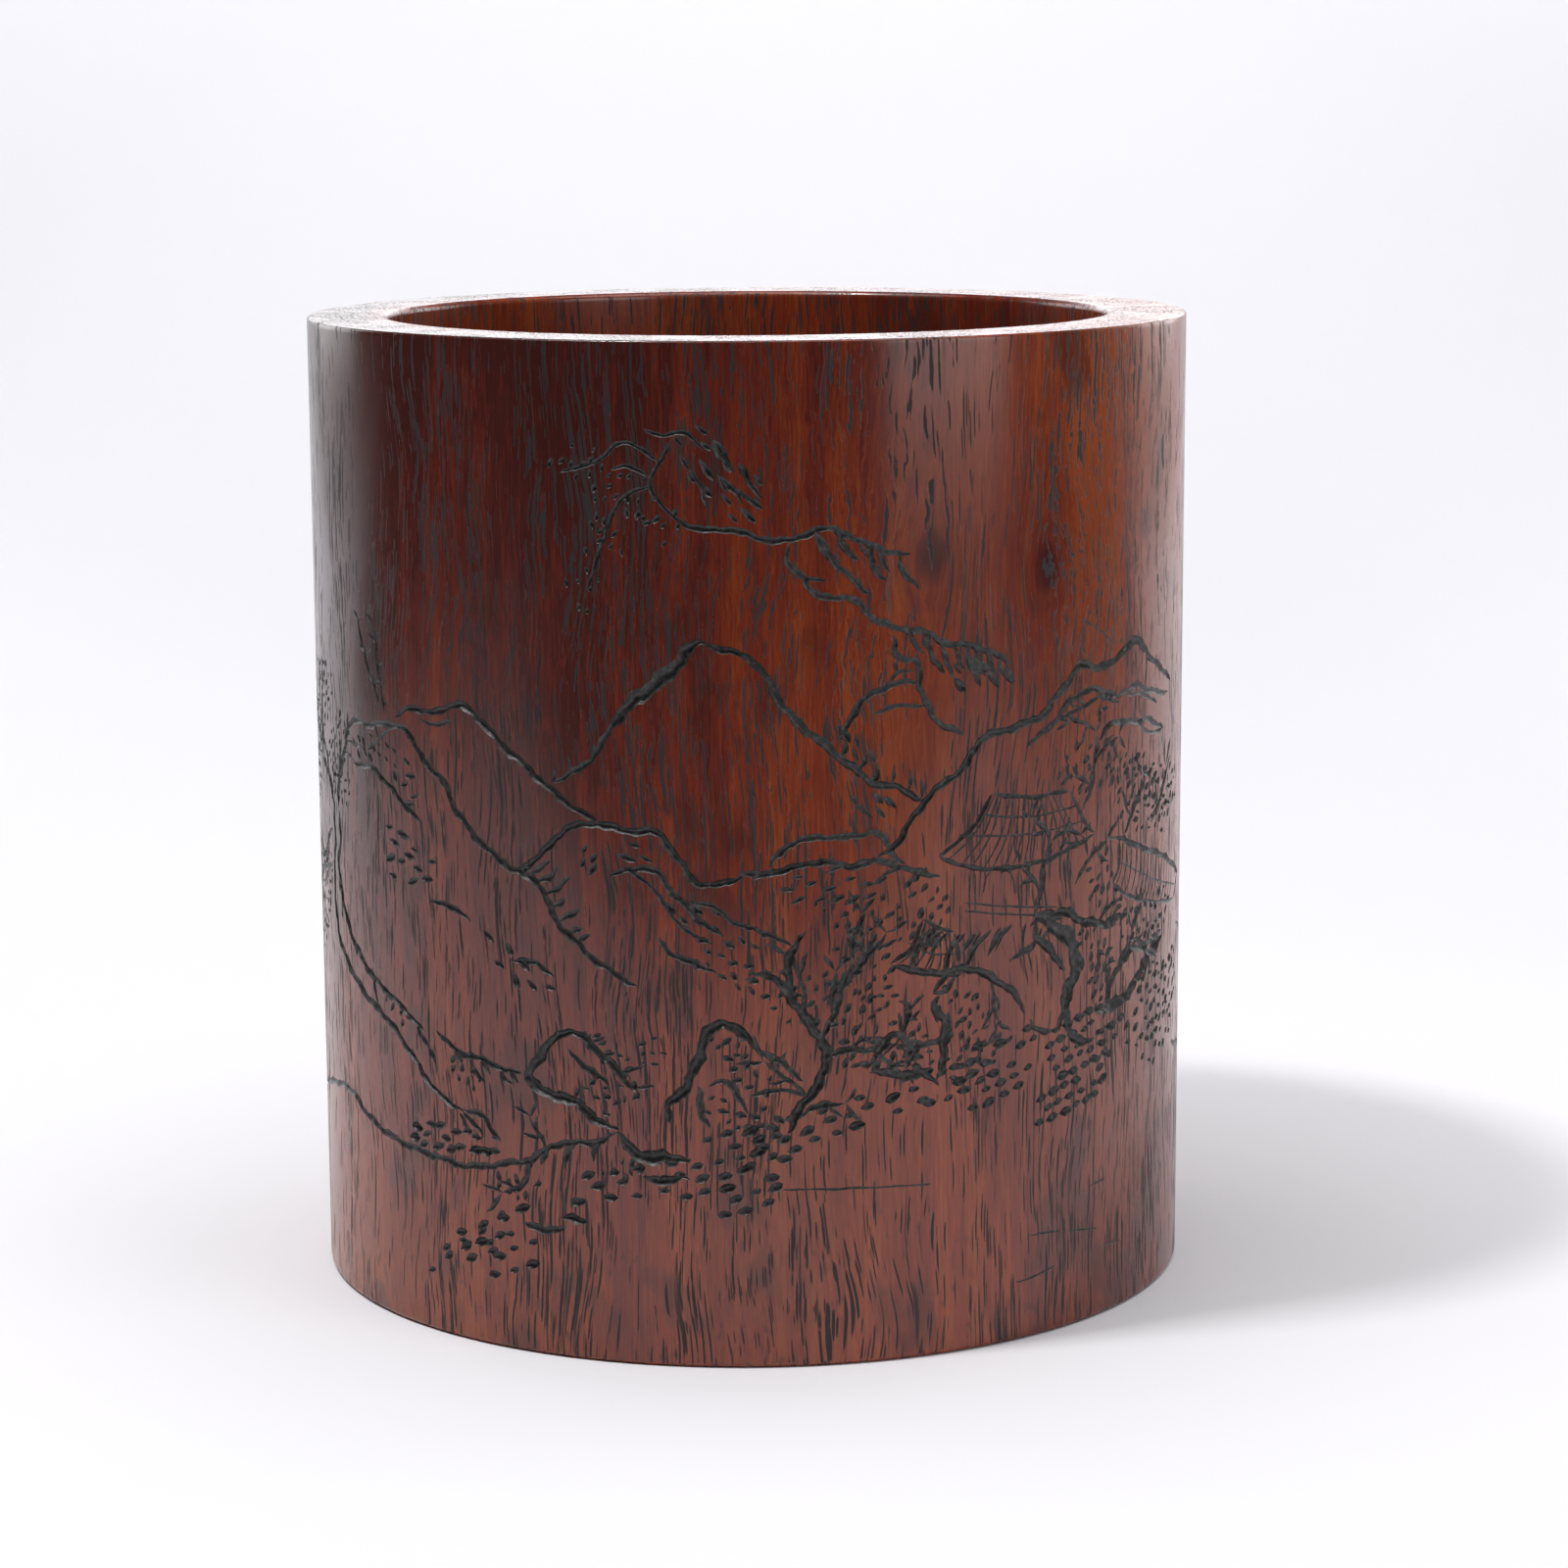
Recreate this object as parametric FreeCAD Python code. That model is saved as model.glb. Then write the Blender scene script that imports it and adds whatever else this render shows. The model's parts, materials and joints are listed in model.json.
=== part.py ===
"""A turned hardwood pot that holds writing brushes, in millimetres.

The side is one hollowed length of trunk, straight and thick walled. It keeps its
heartwood grain upright, so its floor is a separate disc, let into a rebate from
below and glued against a shoulder. The disc has a round plug where its soft pith
was bored away.

The frame has +Z up. The origin is on the axis, at the ring that the pot stands on.
"""
import FreeCAD, Part
import os
from FreeCAD import Vector

# The side: a hollowed length of trunk.
HEIGHT = 164.5
RIM_RADIUS = 75.0
FOOT_RADIUS = 74.75
BORE_RADIUS = 61.4

# The rounding that hand polishing leaves on the side's edges.
RIM_OUTER_EDGE = 0.45
RIM_INNER_EDGE = 1.1
FOOT_OUTER_EDGE = 1.0
FOOT_INNER_EDGE = 0.5

# The floor disc and the rebate that it fills.
DISC_RADIUS = 66.0
DISC_THICKNESS = 10.0
DISC_RECESS = 1.6
DISC_EDGE = 0.35

# The plug in the disc's middle.
PLUG_RADIUS = 11.0
PLUG_EDGE = 0.3

# Places that follow from those sizes.
DISC_BOTTOM = DISC_RECESS
DISC_TOP = DISC_BOTTOM + DISC_THICKNESS

FULL_TURN = 360.0
SAME_PLACE = 0.01


def revolved(corners):
    """Turn a closed outline of corners in the XZ plane about the Z axis."""
    outline = Part.makePolygon(corners + corners[:1])
    face = Part.Face(outline)
    return face.revolve(Vector(0, 0, 0), Vector(0, 0, 1), FULL_TURN)


def ring_edge(solid, radius, height):
    """Find the solid's circular edge that has this radius and height."""
    for edge in solid.Edges:
        circle = edge.Curve
        if not isinstance(circle, Part.Circle):
            continue
        same_radius = abs(circle.Radius - radius) < SAME_PLACE
        same_height = abs(circle.Center.z - height) < SAME_PLACE
        if same_radius and same_height:
            return edge
    raise ValueError(f"no edge of radius {radius} at height {height}")


def rounded_ring(solid, radius, height, size):
    """Round one circular edge."""
    return solid.makeFillet(size, [ring_edge(solid, radius, height)])


def bevelled_ring(solid, radius, height, size):
    """Bevel one circular edge."""
    return solid.makeChamfer(size, [ring_edge(solid, radius, height)])


def pot_wall():
    """The side, with the rebate for the floor disc cut up into its foot."""
    wall = revolved([
        Vector(FOOT_RADIUS, 0, 0),
        Vector(RIM_RADIUS, 0, HEIGHT),
        Vector(BORE_RADIUS, 0, HEIGHT),
        Vector(BORE_RADIUS, 0, DISC_TOP),
        Vector(DISC_RADIUS, 0, DISC_TOP),
        Vector(DISC_RADIUS, 0, 0),
    ])
    wall = rounded_ring(wall, RIM_RADIUS, HEIGHT, RIM_OUTER_EDGE)
    wall = rounded_ring(wall, BORE_RADIUS, HEIGHT, RIM_INNER_EDGE)
    wall = rounded_ring(wall, FOOT_RADIUS, 0.0, FOOT_OUTER_EDGE)
    return rounded_ring(wall, DISC_RADIUS, 0.0, FOOT_INNER_EDGE)


def base_disc():
    """The floor, a ring up against the shoulder, bored through for the plug."""
    bottom = Vector(0, 0, DISC_BOTTOM)
    disc = Part.makeCylinder(DISC_RADIUS, DISC_THICKNESS, bottom)
    plug_hole = Part.makeCylinder(PLUG_RADIUS, DISC_THICKNESS, bottom)
    disc = disc.cut(plug_hole)
    disc = bevelled_ring(disc, DISC_RADIUS, DISC_BOTTOM, DISC_EDGE)
    disc = bevelled_ring(disc, PLUG_RADIUS, DISC_BOTTOM, PLUG_EDGE)
    return bevelled_ring(disc, PLUG_RADIUS, DISC_TOP, PLUG_EDGE)


def centre_plug():
    """The plug that fills the disc's middle, flush above and below."""
    bottom = Vector(0, 0, DISC_BOTTOM)
    plug = Part.makeCylinder(PLUG_RADIUS, DISC_THICKNESS, bottom)
    plug = bevelled_ring(plug, PLUG_RADIUS, DISC_BOTTOM, PLUG_EDGE)
    return bevelled_ring(plug, PLUG_RADIUS, DISC_TOP, PLUG_EDGE)


PIECES = {
    "pot_wall": pot_wall,
    "base_disc": base_disc,
    "centre_plug": centre_plug,
}


def main():
    """Make each piece, and write it to a STEP file that has its name."""
    os.makedirs("parts", exist_ok=True)
    for name, make in PIECES.items():
        solid = make()
        if not solid.isValid() or len(solid.Solids) != 1:
            raise ValueError(f"{name} is not one valid solid")
        solid.exportStep(f"parts/{name}.step")
        print(f"{name}: {solid.Volume / 1000.0:.1f} cm3")


main()
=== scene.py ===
"""A hardwood brush pot with a landscape cut round its side, dressed about its CAD frame.

The pot's side is one mesh. Its outside starts as a flat sheet, as wide as the pot is
round, with every cut's outline and bed drawn in it. The sheet is bent round the pot,
pressed in where the blade went, and joined to a turned shell that holds the rim, the
bore and the foot. The floor disc and its plug are turned as well.

Sizes named with _MM and all of the carving are in millimetres. Meshes are in metres.
"""
import json
import logging
import math
import random
from collections.abc import Iterable, Sequence
from dataclasses import dataclass, field
from enum import Enum

import bmesh
import bpy
import numpy as np
from mathutils import Matrix, Vector
from mathutils.geometry import delaunay_2d_cdt


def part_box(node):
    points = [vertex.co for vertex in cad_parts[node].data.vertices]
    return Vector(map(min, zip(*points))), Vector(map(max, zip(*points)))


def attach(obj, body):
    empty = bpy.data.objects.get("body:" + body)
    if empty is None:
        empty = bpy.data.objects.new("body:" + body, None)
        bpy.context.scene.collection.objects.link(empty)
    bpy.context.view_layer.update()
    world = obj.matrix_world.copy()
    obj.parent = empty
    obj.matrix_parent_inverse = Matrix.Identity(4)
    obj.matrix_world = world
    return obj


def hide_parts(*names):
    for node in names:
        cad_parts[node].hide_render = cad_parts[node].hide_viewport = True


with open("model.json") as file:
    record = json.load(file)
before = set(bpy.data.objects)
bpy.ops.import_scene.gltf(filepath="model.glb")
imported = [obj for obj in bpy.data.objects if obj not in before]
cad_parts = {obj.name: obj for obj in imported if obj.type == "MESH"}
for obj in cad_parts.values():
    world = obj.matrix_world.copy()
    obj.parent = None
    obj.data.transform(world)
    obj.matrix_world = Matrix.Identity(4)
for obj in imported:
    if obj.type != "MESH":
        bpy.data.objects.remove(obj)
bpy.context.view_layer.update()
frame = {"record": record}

MM = 0.001
FULL_TURN = 2.0 * math.pi

Point = tuple[float, float]
Colour = tuple[float, float, float]

log = logging.getLogger("brush_pot")


# ---------------------------------------------------------------- node building


class Wire:
    """A node's output that joins in Python arithmetic, for numbers only."""

    def __init__(self, bench: "Bench", socket: bpy.types.NodeSocket) -> None:
        """Keep the socket and the bench that builds on it."""
        self.bench = bench
        self.socket = socket

    def also(self, output: str) -> "Wire":
        """Another output of the same node."""
        return Wire(self.bench, named_socket(self.socket.node.outputs, output))

    def __add__(self, other: "Wire | float") -> "Wire":
        """Sum."""
        return self.bench.math("ADD", self, other)

    def __radd__(self, other: float) -> "Wire":
        """Sum, from the right."""
        return self.bench.math("ADD", other, self)

    def __sub__(self, other: "Wire | float") -> "Wire":
        """Difference."""
        return self.bench.math("SUBTRACT", self, other)

    def __rsub__(self, other: float) -> "Wire":
        """Difference, from the right."""
        return self.bench.math("SUBTRACT", other, self)

    def __mul__(self, other: "Wire | float") -> "Wire":
        """Product."""
        return self.bench.math("MULTIPLY", self, other)

    def __rmul__(self, other: float) -> "Wire":
        """Product, from the right."""
        return self.bench.math("MULTIPLY", other, self)

    def __truediv__(self, other: "Wire | float") -> "Wire":
        """Quotient."""
        return self.bench.math("DIVIDE", self, other)

    def __rtruediv__(self, other: float) -> "Wire":
        """Quotient, from the right."""
        return self.bench.math("DIVIDE", other, self)

    def __pow__(self, other: float) -> "Wire":
        """Power."""
        return self.bench.math("POWER", self, other)

    def held(self) -> "Wire":
        """The value, held between 0 and 1."""
        return self.bench.math("MINIMUM", self.bench.math("MAXIMUM", self, 0.0), 1.0)

    def rise(self, low: float, high: float) -> "Wire":
        """A smooth step that is 0 below low and 1 above high.

        Args:
            low: The value where the step starts.
            high: The value where it ends. It may be under low, for a step down.

        Returns:
            The step, between 0 and 1.
        """
        step = ((self - low) * (1.0 / (high - low))).held()
        return step * step * (3.0 - 2.0 * step)


Feed = Wire | float | int | Sequence[float] | bpy.types.ID | None


def named_socket(sockets: Iterable[bpy.types.NodeSocket], key: str | int) -> bpy.types.NodeSocket:
    """Find a socket by its place, identifier or name.

    Args:
        sockets: A node's inputs or outputs.
        key: The socket's place, identifier or name.

    Returns:
        The socket.
    """
    found = list(sockets)
    if isinstance(key, int):
        return found[key]
    for socket in found:
        if socket.identifier == key:
            return socket
    for socket in found:
        if socket.name == key and socket.enabled:
            return socket
    raise KeyError(key)


class Bench:
    """A node tree under construction."""

    def __init__(self, tree: bpy.types.NodeTree) -> None:
        """Start on a tree."""
        self.tree = tree

    def node(
        self,
        kind: str,
        settings: dict[str, object] | None = None,
        sockets: dict[str | int, Feed] | None = None,
        output: str | int = 0,
    ) -> Wire:
        """Add a node.

        Args:
            kind: The node's type name.
            settings: Its settings, set first. A ramp's stops are pairs of place and colour.
            sockets: The values or links of its inputs.
            output: The output to return.

        Returns:
            That output.
        """
        made = self.tree.nodes.new(kind)
        for name, value in (settings or {}).items():
            if name == "stops":
                self._set_stops(made.color_ramp, value)
            else:
                setattr(made, name, value)
        for key, value in (sockets or {}).items():
            self.feed(named_socket(made.inputs, key), value)
        if not made.outputs:
            return Wire(self, made.inputs[0])
        return Wire(self, named_socket(made.outputs, output))

    def feed(self, socket: bpy.types.NodeSocket, value: Feed) -> None:
        """Link a wire to an input, or set its value."""
        if isinstance(value, Wire):
            self.tree.links.new(value.socket, socket)
        else:
            socket.default_value = value

    def math(self, operation: str, *values: Wire | float) -> Wire:
        """Add a Math node on one, two or three values."""
        return self.node("ShaderNodeMath", {"operation": operation}, dict(enumerate(values)))

    def vector(self, operation: str, *values: Feed, output: str | int = 0) -> Wire:
        """Add a Vector Math node."""
        settings = {"operation": operation}
        return self.node("ShaderNodeVectorMath", settings, dict(enumerate(values)), output)

    def joined(self, x: Feed, y: Feed, z: Feed) -> Wire:
        """Make a vector of three numbers."""
        return self.node("ShaderNodeCombineXYZ", None, {0: x, 1: y, 2: z})

    def split(self, vector: Wire) -> tuple[Wire, Wire, Wire]:
        """Take a vector's three numbers."""
        x = self.node("ShaderNodeSeparateXYZ", None, {0: vector})
        return x, x.also("Y"), x.also("Z")

    def scaled(self, vector: Wire, x: float, y: float, z: float) -> Wire:
        """Stretch a vector along each axis."""
        return self.vector("MULTIPLY", vector, (x, y, z))

    def round_axis(self, radius: Wire, angle: Wire, height: Wire) -> Wire:
        """The place at a radius, an angle from the front and a height."""
        return self.joined(
            radius * self.math("SINE", angle),
            radius * self.math("COSINE", angle) * -1.0,
            height,
        )

    def noise(self, vector: Wire, scale: float = 1.0, detail: float = 2.0) -> Wire:
        """Soft cloudy variation about 0.5."""
        sockets = {"Vector": vector, "Scale": scale, "Detail": detail}
        return self.node("ShaderNodeTexNoise", None, sockets, "Fac")

    def blend(self, share: Feed, first: Feed, second: Feed, mode: str = "MIX") -> Wire:
        """Mix two colours.

        Args:
            share: How much of the second shows, from 0 to 1.
            first: The colour underneath.
            second: The colour on top.
            mode: The Mix node's blend type.

        Returns:
            The mixed colour.
        """
        settings = {"data_type": "RGBA", "blend_type": mode}
        sockets = {"Factor_Float": share, "A_Color": first, "B_Color": second}
        return self.node("ShaderNodeMix", settings, sockets, "Result_Color")

    @staticmethod
    def _set_stops(ramp: bpy.types.ColorRamp, stops: Sequence[tuple[float, Colour]]) -> None:
        """Give a colour ramp its stops."""
        while len(ramp.elements) > 1:
            ramp.elements.remove(ramp.elements[-1])
        for index, (place, colour) in enumerate(stops):
            stop = ramp.elements[0] if index == 0 else ramp.elements.new(place)
            stop.position = place
            stop.color = (*colour, 1.0)


# --------------------------------------------------------------------- finishes


@dataclass(frozen=True)
class Knot:
    """A pin knot: where the branch came out, in millimetres, and how large its eye is."""

    arc_mm: float
    height_mm: float
    size_mm: float


@dataclass(frozen=True)
class Hardwood:
    """Dense reddish-brown heartwood with open pores, waxed and rubbed to a soft gloss."""

    name: str
    deep: Colour = (0.062, 0.0125, 0.0095)
    body: Colour = (0.155, 0.0235, 0.0125)
    warm: Colour = (0.225, 0.037, 0.0125)
    pale: Colour = (0.31, 0.066, 0.019)
    pore: Colour = (0.0075, 0.006, 0.007)
    eye: Colour = (0.03, 0.0065, 0.0085)
    cool: Colour = (0.62, 0.6, 0.8)
    gloss: float = 1.58
    turn: tuple[float, float, float] = (0.0, 0.0, 0.0)
    pith_mm: Point = (13.0, 21.0)
    ring_mm: float = 3.4
    roughness: float = 0.2
    knots: tuple[Knot, ...] = ()
    radius_mm: float = 75.0

    def material(self) -> bpy.types.Material:
        """Build the finish.

        Returns:
            The material.
        """
        made = bpy.data.materials.new(self.name)
        made.use_nodes = True
        made.node_tree.nodes.clear()
        bench = Bench(made.node_tree)
        place = self._place(bench)
        wander = self._wander(bench, place)
        wander = self._round_knots(bench, place, wander)
        tone = self._tone(bench, place, wander)
        colour = self._colour(bench, place, wander, tone)
        pores = self._pores(bench, place, wander)
        stain = self._stains(bench, place)
        colour = bench.blend(stain * 0.72, colour, (*self.deep, 1.0))
        colour = bench.blend((pores * 0.96).held(), colour, (*self.pore, 1.0))
        rough = self._roughness(bench, place, pores)
        shader = bench.node(
            "ShaderNodeBsdfPrincipled",
            None,
            {
                "Base Color": colour,
                "Roughness": rough,
                "IOR": self.gloss,
                "Normal": self._relief(bench, wander, pores),
            },
        )
        bench.node("ShaderNodeOutputMaterial", None, {"Surface": shader})
        return made

    def _place(self, bench: Bench) -> Wire:
        """Where a point is in the wood, in millimetres, with the trunk along Z."""
        spot = bench.node("ShaderNodeTexCoord", output="Object")
        sockets = {"Vector": spot, "Rotation": self.turn, "Scale": (1.0 / MM,) * 3}
        return bench.node("ShaderNodeMapping", None, sockets)

    def _wander(self, bench: Bench, place: Wire) -> Wire:
        """The place, pushed about slowly, so that the grain isn't ruled straight."""
        slow = bench.scaled(place, 0.021, 0.021, 0.009)
        sockets = {"Vector": slow, "Scale": 1.0, "Detail": 1.5}
        push = bench.node("ShaderNodeTexNoise", None, sockets, "Color")
        push = bench.vector("SUBTRACT", push, (0.5, 0.5, 0.5))
        push = bench.scaled(push, 7.0, 7.0, 4.0)
        return bench.vector("ADD", place, push)

    def _knot_falls(self, bench: Bench, place: Wire) -> list[tuple[Wire, Wire]]:
        """The way to each knot, and the distance from it in knot sizes."""
        falls = []
        for knot in self.knots:
            angle = knot.arc_mm / self.radius_mm
            eye = (
                self.radius_mm * math.sin(angle),
                -self.radius_mm * math.cos(angle),
                knot.height_mm,
            )
            away = bench.vector("SUBTRACT", place, eye)
            near = bench.scaled(away, 1.0 / knot.size_mm, 1.0 / knot.size_mm, 0.62 / knot.size_mm)
            ragged = bench.noise(bench.scaled(place, 0.6, 0.6, 0.25), detail=3.0) * 0.9 + 0.55
            falls.append((away, bench.vector("LENGTH", near, output="Value") * ragged))
        return falls

    def _round_knots(self, bench: Bench, place: Wire, wander: Wire) -> Wire:
        """Bend the grain round the knots."""
        for away, distance in self._knot_falls(bench, place):
            hold = 1.0 / (1.0 + distance * distance * 0.32)
            push = bench.vector("SCALE", away)
            bench.feed(push.socket.node.inputs["Scale"], hold * -0.78)
            wander = bench.vector("ADD", wander, bench.scaled(push, 1.0, 1.0, 0.1))
        return wander

    def _tone(self, bench: Bench, place: Wire, wander: Wire) -> Wire:
        """How light the wood is, from 0 to 1, before its pores."""
        broad = bench.noise(bench.scaled(wander, 0.03, 0.03, 0.008), detail=2.0)
        streak = bench.noise(bench.scaled(wander, 0.3, 0.3, 0.014), detail=2.5)
        fibre = bench.noise(bench.scaled(wander, 3.1, 3.1, 0.12), detail=2.5)
        x, y, _ = bench.split(wander)
        across = bench.joined(x - self.pith_mm[0], y - self.pith_mm[1], 0.0)
        ring = bench.vector("LENGTH", across, output="Value") * (FULL_TURN / self.ring_mm)
        ring = bench.math("SINE", ring + broad * 9.0)
        tone = 0.5 + (broad - 0.5) * 0.9 + (streak - 0.5) * 0.6 + (fibre - 0.5) * 0.85
        side, depth, height = bench.split(place)
        radius = bench.vector("LENGTH", bench.joined(side, depth, 0.0), output="Value")
        outside = radius.rise(62.5, 70.0)
        # On the outside the wood gets darker towards the top and, above 35 mm, lighter to the right; the
        # bore is a little lighter all over.
        height_side_drift = side * (height - 35.0) * 0.00006 - (height - 88.0) * 0.002
        tone = tone + ring * 0.03 + outside * (height_side_drift - 0.09) + 0.09
        for _, distance in self._knot_falls(bench, place):
            tone = tone + bench.math("SINE", distance * 6.5) * 0.1 / (1.0 + distance * distance)
        return tone

    def _colour(self, bench: Bench, place: Wire, wander: Wire, tone: Wire) -> Wire:
        """The wood's colour, before its pores and stains."""
        sockets = {"Fac": tone}
        stops = [
            (0.18, self.deep),
            (0.42, self.body),
            (0.62, self.warm),
            (0.85, self.pale),
        ]
        colour = bench.node("ShaderNodeValToRGB", {"stops": stops}, sockets)
        cool = bench.noise(bench.scaled(wander, 0.024, 0.024, 0.009), detail=2.0).rise(0.44, 0.66)
        colour = bench.blend(cool * 0.55, colour, (*self.cool, 1.0), "MULTIPLY")
        for _, distance in self._knot_falls(bench, place):
            eye = 1.0 / (1.0 + (distance * 1.1) ** 3.0)
            colour = bench.blend(eye * 0.86, colour, (*self.eye, 1.0))
        return colour

    def _pores(self, bench: Bench, place: Wire, wander: Wire) -> Wire:
        """The open pores: dark dashes along the grain, in crowds and alone."""
        crowd = bench.noise(bench.scaled(wander, 0.12, 0.12, 0.02), detail=2.5)
        lean = bench.noise(bench.scaled(place, 0.05, 0.05, 0.03), detail=1.0) - 0.5
        shake = bench.noise(bench.scaled(place, 0.4, 0.4, 0.1), detail=1.0) - 0.5
        x, y, z = bench.split(wander)
        turn = lean * 0.1 + shake * 0.008
        leaning = bench.joined(x - y * turn, y + x * turn, z)
        short = self._dashes(bench, leaning, 0.48, 10.0, crowd.rise(0.3, 0.6) * 0.7 + 0.26)
        long = self._dashes(bench, leaning, 0.6, 23.0, crowd.rise(0.38, 0.64) * 0.72 + 0.14)
        thread = bench.noise(bench.scaled(leaning, 1.9, 1.9, 0.04), detail=1.5)
        thread = thread.rise(0.61, 0.66) * crowd.rise(0.42, 0.58)
        return bench.math("MAXIMUM", bench.math("MAXIMUM", short, long), thread * 0.85)

    def _dashes(self, bench: Bench, place: Wire, across: float, along: float, share: Wire) -> Wire:
        """Scatter dashes through the wood.

        Args:
            bench: Where the nodes go.
            place: The place in millimetres.
            across: The mean distance between dashes across the grain.
            along: The mean distance along it.
            share: How many of the dashes are there, from 0 to 1.

        Returns:
            1 inside a dash, and 0 outside.
        """
        cells = bench.scaled(place, 1.0 / across, 1.0 / across, 1.0 / along)
        settings = {"feature": "F1", "voronoi_dimensions": "3D", "distance": "MINKOWSKI"}
        sockets = {"Vector": cells, "Scale": 1.0, "Randomness": 1.0, "Exponent": 3.0}
        distance = bench.node("ShaderNodeTexVoronoi", settings, sockets, "Distance")
        size, lot, _ = bench.split(distance.also("Color"))
        there = ((share - lot) * 12.0).held()
        reach = (size * 0.16 + 0.24) * there
        return ((reach - distance) * 15.0).held()

    def _stains(self, bench: Bench, place: Wire) -> Wire:
        """Dark blotches, most of them near the foot."""
        side, _, height = bench.split(place)
        blot = bench.noise(bench.scaled(place, 0.085, 0.085, 0.055), detail=4.0)
        low = height.rise(48.0, 8.0)
        fleck = bench.noise(bench.scaled(place, 0.5, 0.5, 0.3), detail=3.0).rise(0.64, 0.72)
        near_foot = (blot + low * (0.075 + side.rise(20.0, 62.0) * 0.05)).rise(0.6, 0.7)
        return bench.math("MAXIMUM", near_foot * 0.8, fleck * (0.25 + low * 0.6))

    def _roughness(self, bench: Bench, place: Wire, pores: Wire) -> Wire:
        """A waxed gloss that handling has made a little uneven."""
        wear = bench.noise(bench.scaled(place, 0.03, 0.03, 0.03), detail=3.0)
        return self.roughness + (wear - 0.5) * 0.12 + pores * 0.5

    def _relief(self, bench: Bench, wander: Wire, pores: Wire) -> Wire:
        """The feel of the surface: sunk pores and faint fibre."""
        fibre = bench.noise(bench.scaled(wander, 2.6, 2.6, 0.12), detail=1.0)
        height = fibre * 0.12 - pores
        sockets = {"Strength": 0.22, "Distance": 0.0001, "Height": height}
        return bench.node("ShaderNodeBump", None, sockets)


@dataclass(frozen=True)
class Charcoal:
    """The dull black-grey colour rubbed into the cuts, with gouge marks in their beds, and pale patches that
    are partly dust and partly painted glints.
    """

    name: str
    dark: Colour = (0.014, 0.0133, 0.0127)
    # Pale patches: partly dust in the cuts, partly painted glints that stand for light caught on the cut
    # walls.
    dust_and_glint: Colour = (0.085, 0.08, 0.074)
    roughness: float = 0.36
    gloss: float = 1.5

    def material(self) -> bpy.types.Material:
        """Build the finish.

        Returns:
            The material.
        """
        made = bpy.data.materials.new(self.name)
        made.use_nodes = True
        made.node_tree.nodes.clear()
        bench = Bench(made.node_tree)
        spot = bench.node("ShaderNodeTexCoord", output="Object")
        place = bench.scaled(spot, *(1.0 / MM,) * 3)
        grain = bench.noise(place, 1.3, 3.0)
        mark = bench.noise(place, 5.0, 2.0)
        # Pale patches through the cuts: partly dust, partly painted glints that stand for light on the cut
        # walls.
        colour = bench.blend(grain.rise(0.4, 0.8), (*self.dark, 1.0), (*self.dust_and_glint, 1.0))
        sockets = {"Strength": 0.6, "Distance": 0.00012, "Height": mark}
        relief = bench.node("ShaderNodeBump", None, sockets)
        shader = bench.node(
            "ShaderNodeBsdfPrincipled",
            None,
            {
                "Base Color": colour,
                "Roughness": self.roughness + (mark - 0.5) * 0.3,
                "IOR": self.gloss,
                "Normal": relief,
            },
        )
        bench.node("ShaderNodeOutputMaterial", None, {"Surface": shader})
        return made


# ---------------------------------------------------------------------- carving


@dataclass(frozen=True)
class Gouge:
    """How a blade cuts: half its cut's width, its depth, and how long its ends taper."""

    half: float
    deep: float
    taper: float
    wobble: float


class Cut(Enum):
    """The cuts that the carver made."""

    BROAD = Gouge(1.15, 0.95, 5.0, 0.3)
    BOLD = Gouge(0.78, 0.75, 3.5, 0.25)
    LINE = Gouge(0.54, 0.55, 2.6, 0.19)
    FINE = Gouge(0.38, 0.4, 1.8, 0.09)
    SCRIBED = Gouge(0.17, 0.16, 1.2, 0.03)


STEP_MM = 0.85
BED_ROW = 0.52
CLEAR_OF_CUTS_MM = 0.4
CUT_FACE_MM = 0.015
SAME_SPOT_MM = 1e-4


def smooth_path(points: Sequence[Point], step: float) -> np.ndarray:
    """Draw a smooth line through a few points.

    Args:
        points: The points, in order.
        step: The distance between the line's samples.

    Returns:
        The samples, one row each.
    """
    knots = np.array([points[0], *points, points[-1]], float)
    line = []
    for a, b, c, d in zip(knots, knots[1:], knots[2:], knots[3:]):
        count = max(1, math.ceil(np.linalg.norm(c - b) / step))
        for t in np.arange(count) / count:
            pull = (c - a) * t + (2 * a - 5 * b + 4 * c - d) * t * t
            line.append(b + 0.5 * (pull + (3 * b - a - 3 * c + d) * t**3))
    line.append(knots[-1])
    return np.array(line)


def ray(angle: float) -> np.ndarray:
    """The unit step along an angle, in radians."""
    return np.array([math.cos(angle), math.sin(angle)])


def leftward(line: np.ndarray) -> np.ndarray:
    """The unit step to the left of a line, at each of its points."""
    ahead = np.gradient(line, axis=0)
    ahead /= np.maximum(np.linalg.norm(ahead, axis=1, keepdims=True), 1e-9)
    return np.column_stack([-ahead[:, 1], ahead[:, 0]])


class Spots:
    """Places on the flat sheet, sorted so that those in a small box are found quickly."""

    def __init__(self, places: np.ndarray) -> None:
        """Sort the places from left to right."""
        self.places = places
        self.order = np.argsort(places[:, 0])
        self.across = places[self.order, 0]

    def within(self, low: np.ndarray, high: np.ndarray) -> np.ndarray:
        """Find the places in a box.

        Args:
            low: The box's lower left corner.
            high: Its upper right corner.

        Returns:
            The places' numbers.
        """
        first, last = np.searchsorted(self.across, [low[0], high[0]])
        near = self.order[first:last]
        heights = self.places[near, 1]
        return near[(heights >= low[1]) & (heights <= high[1])]


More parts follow.
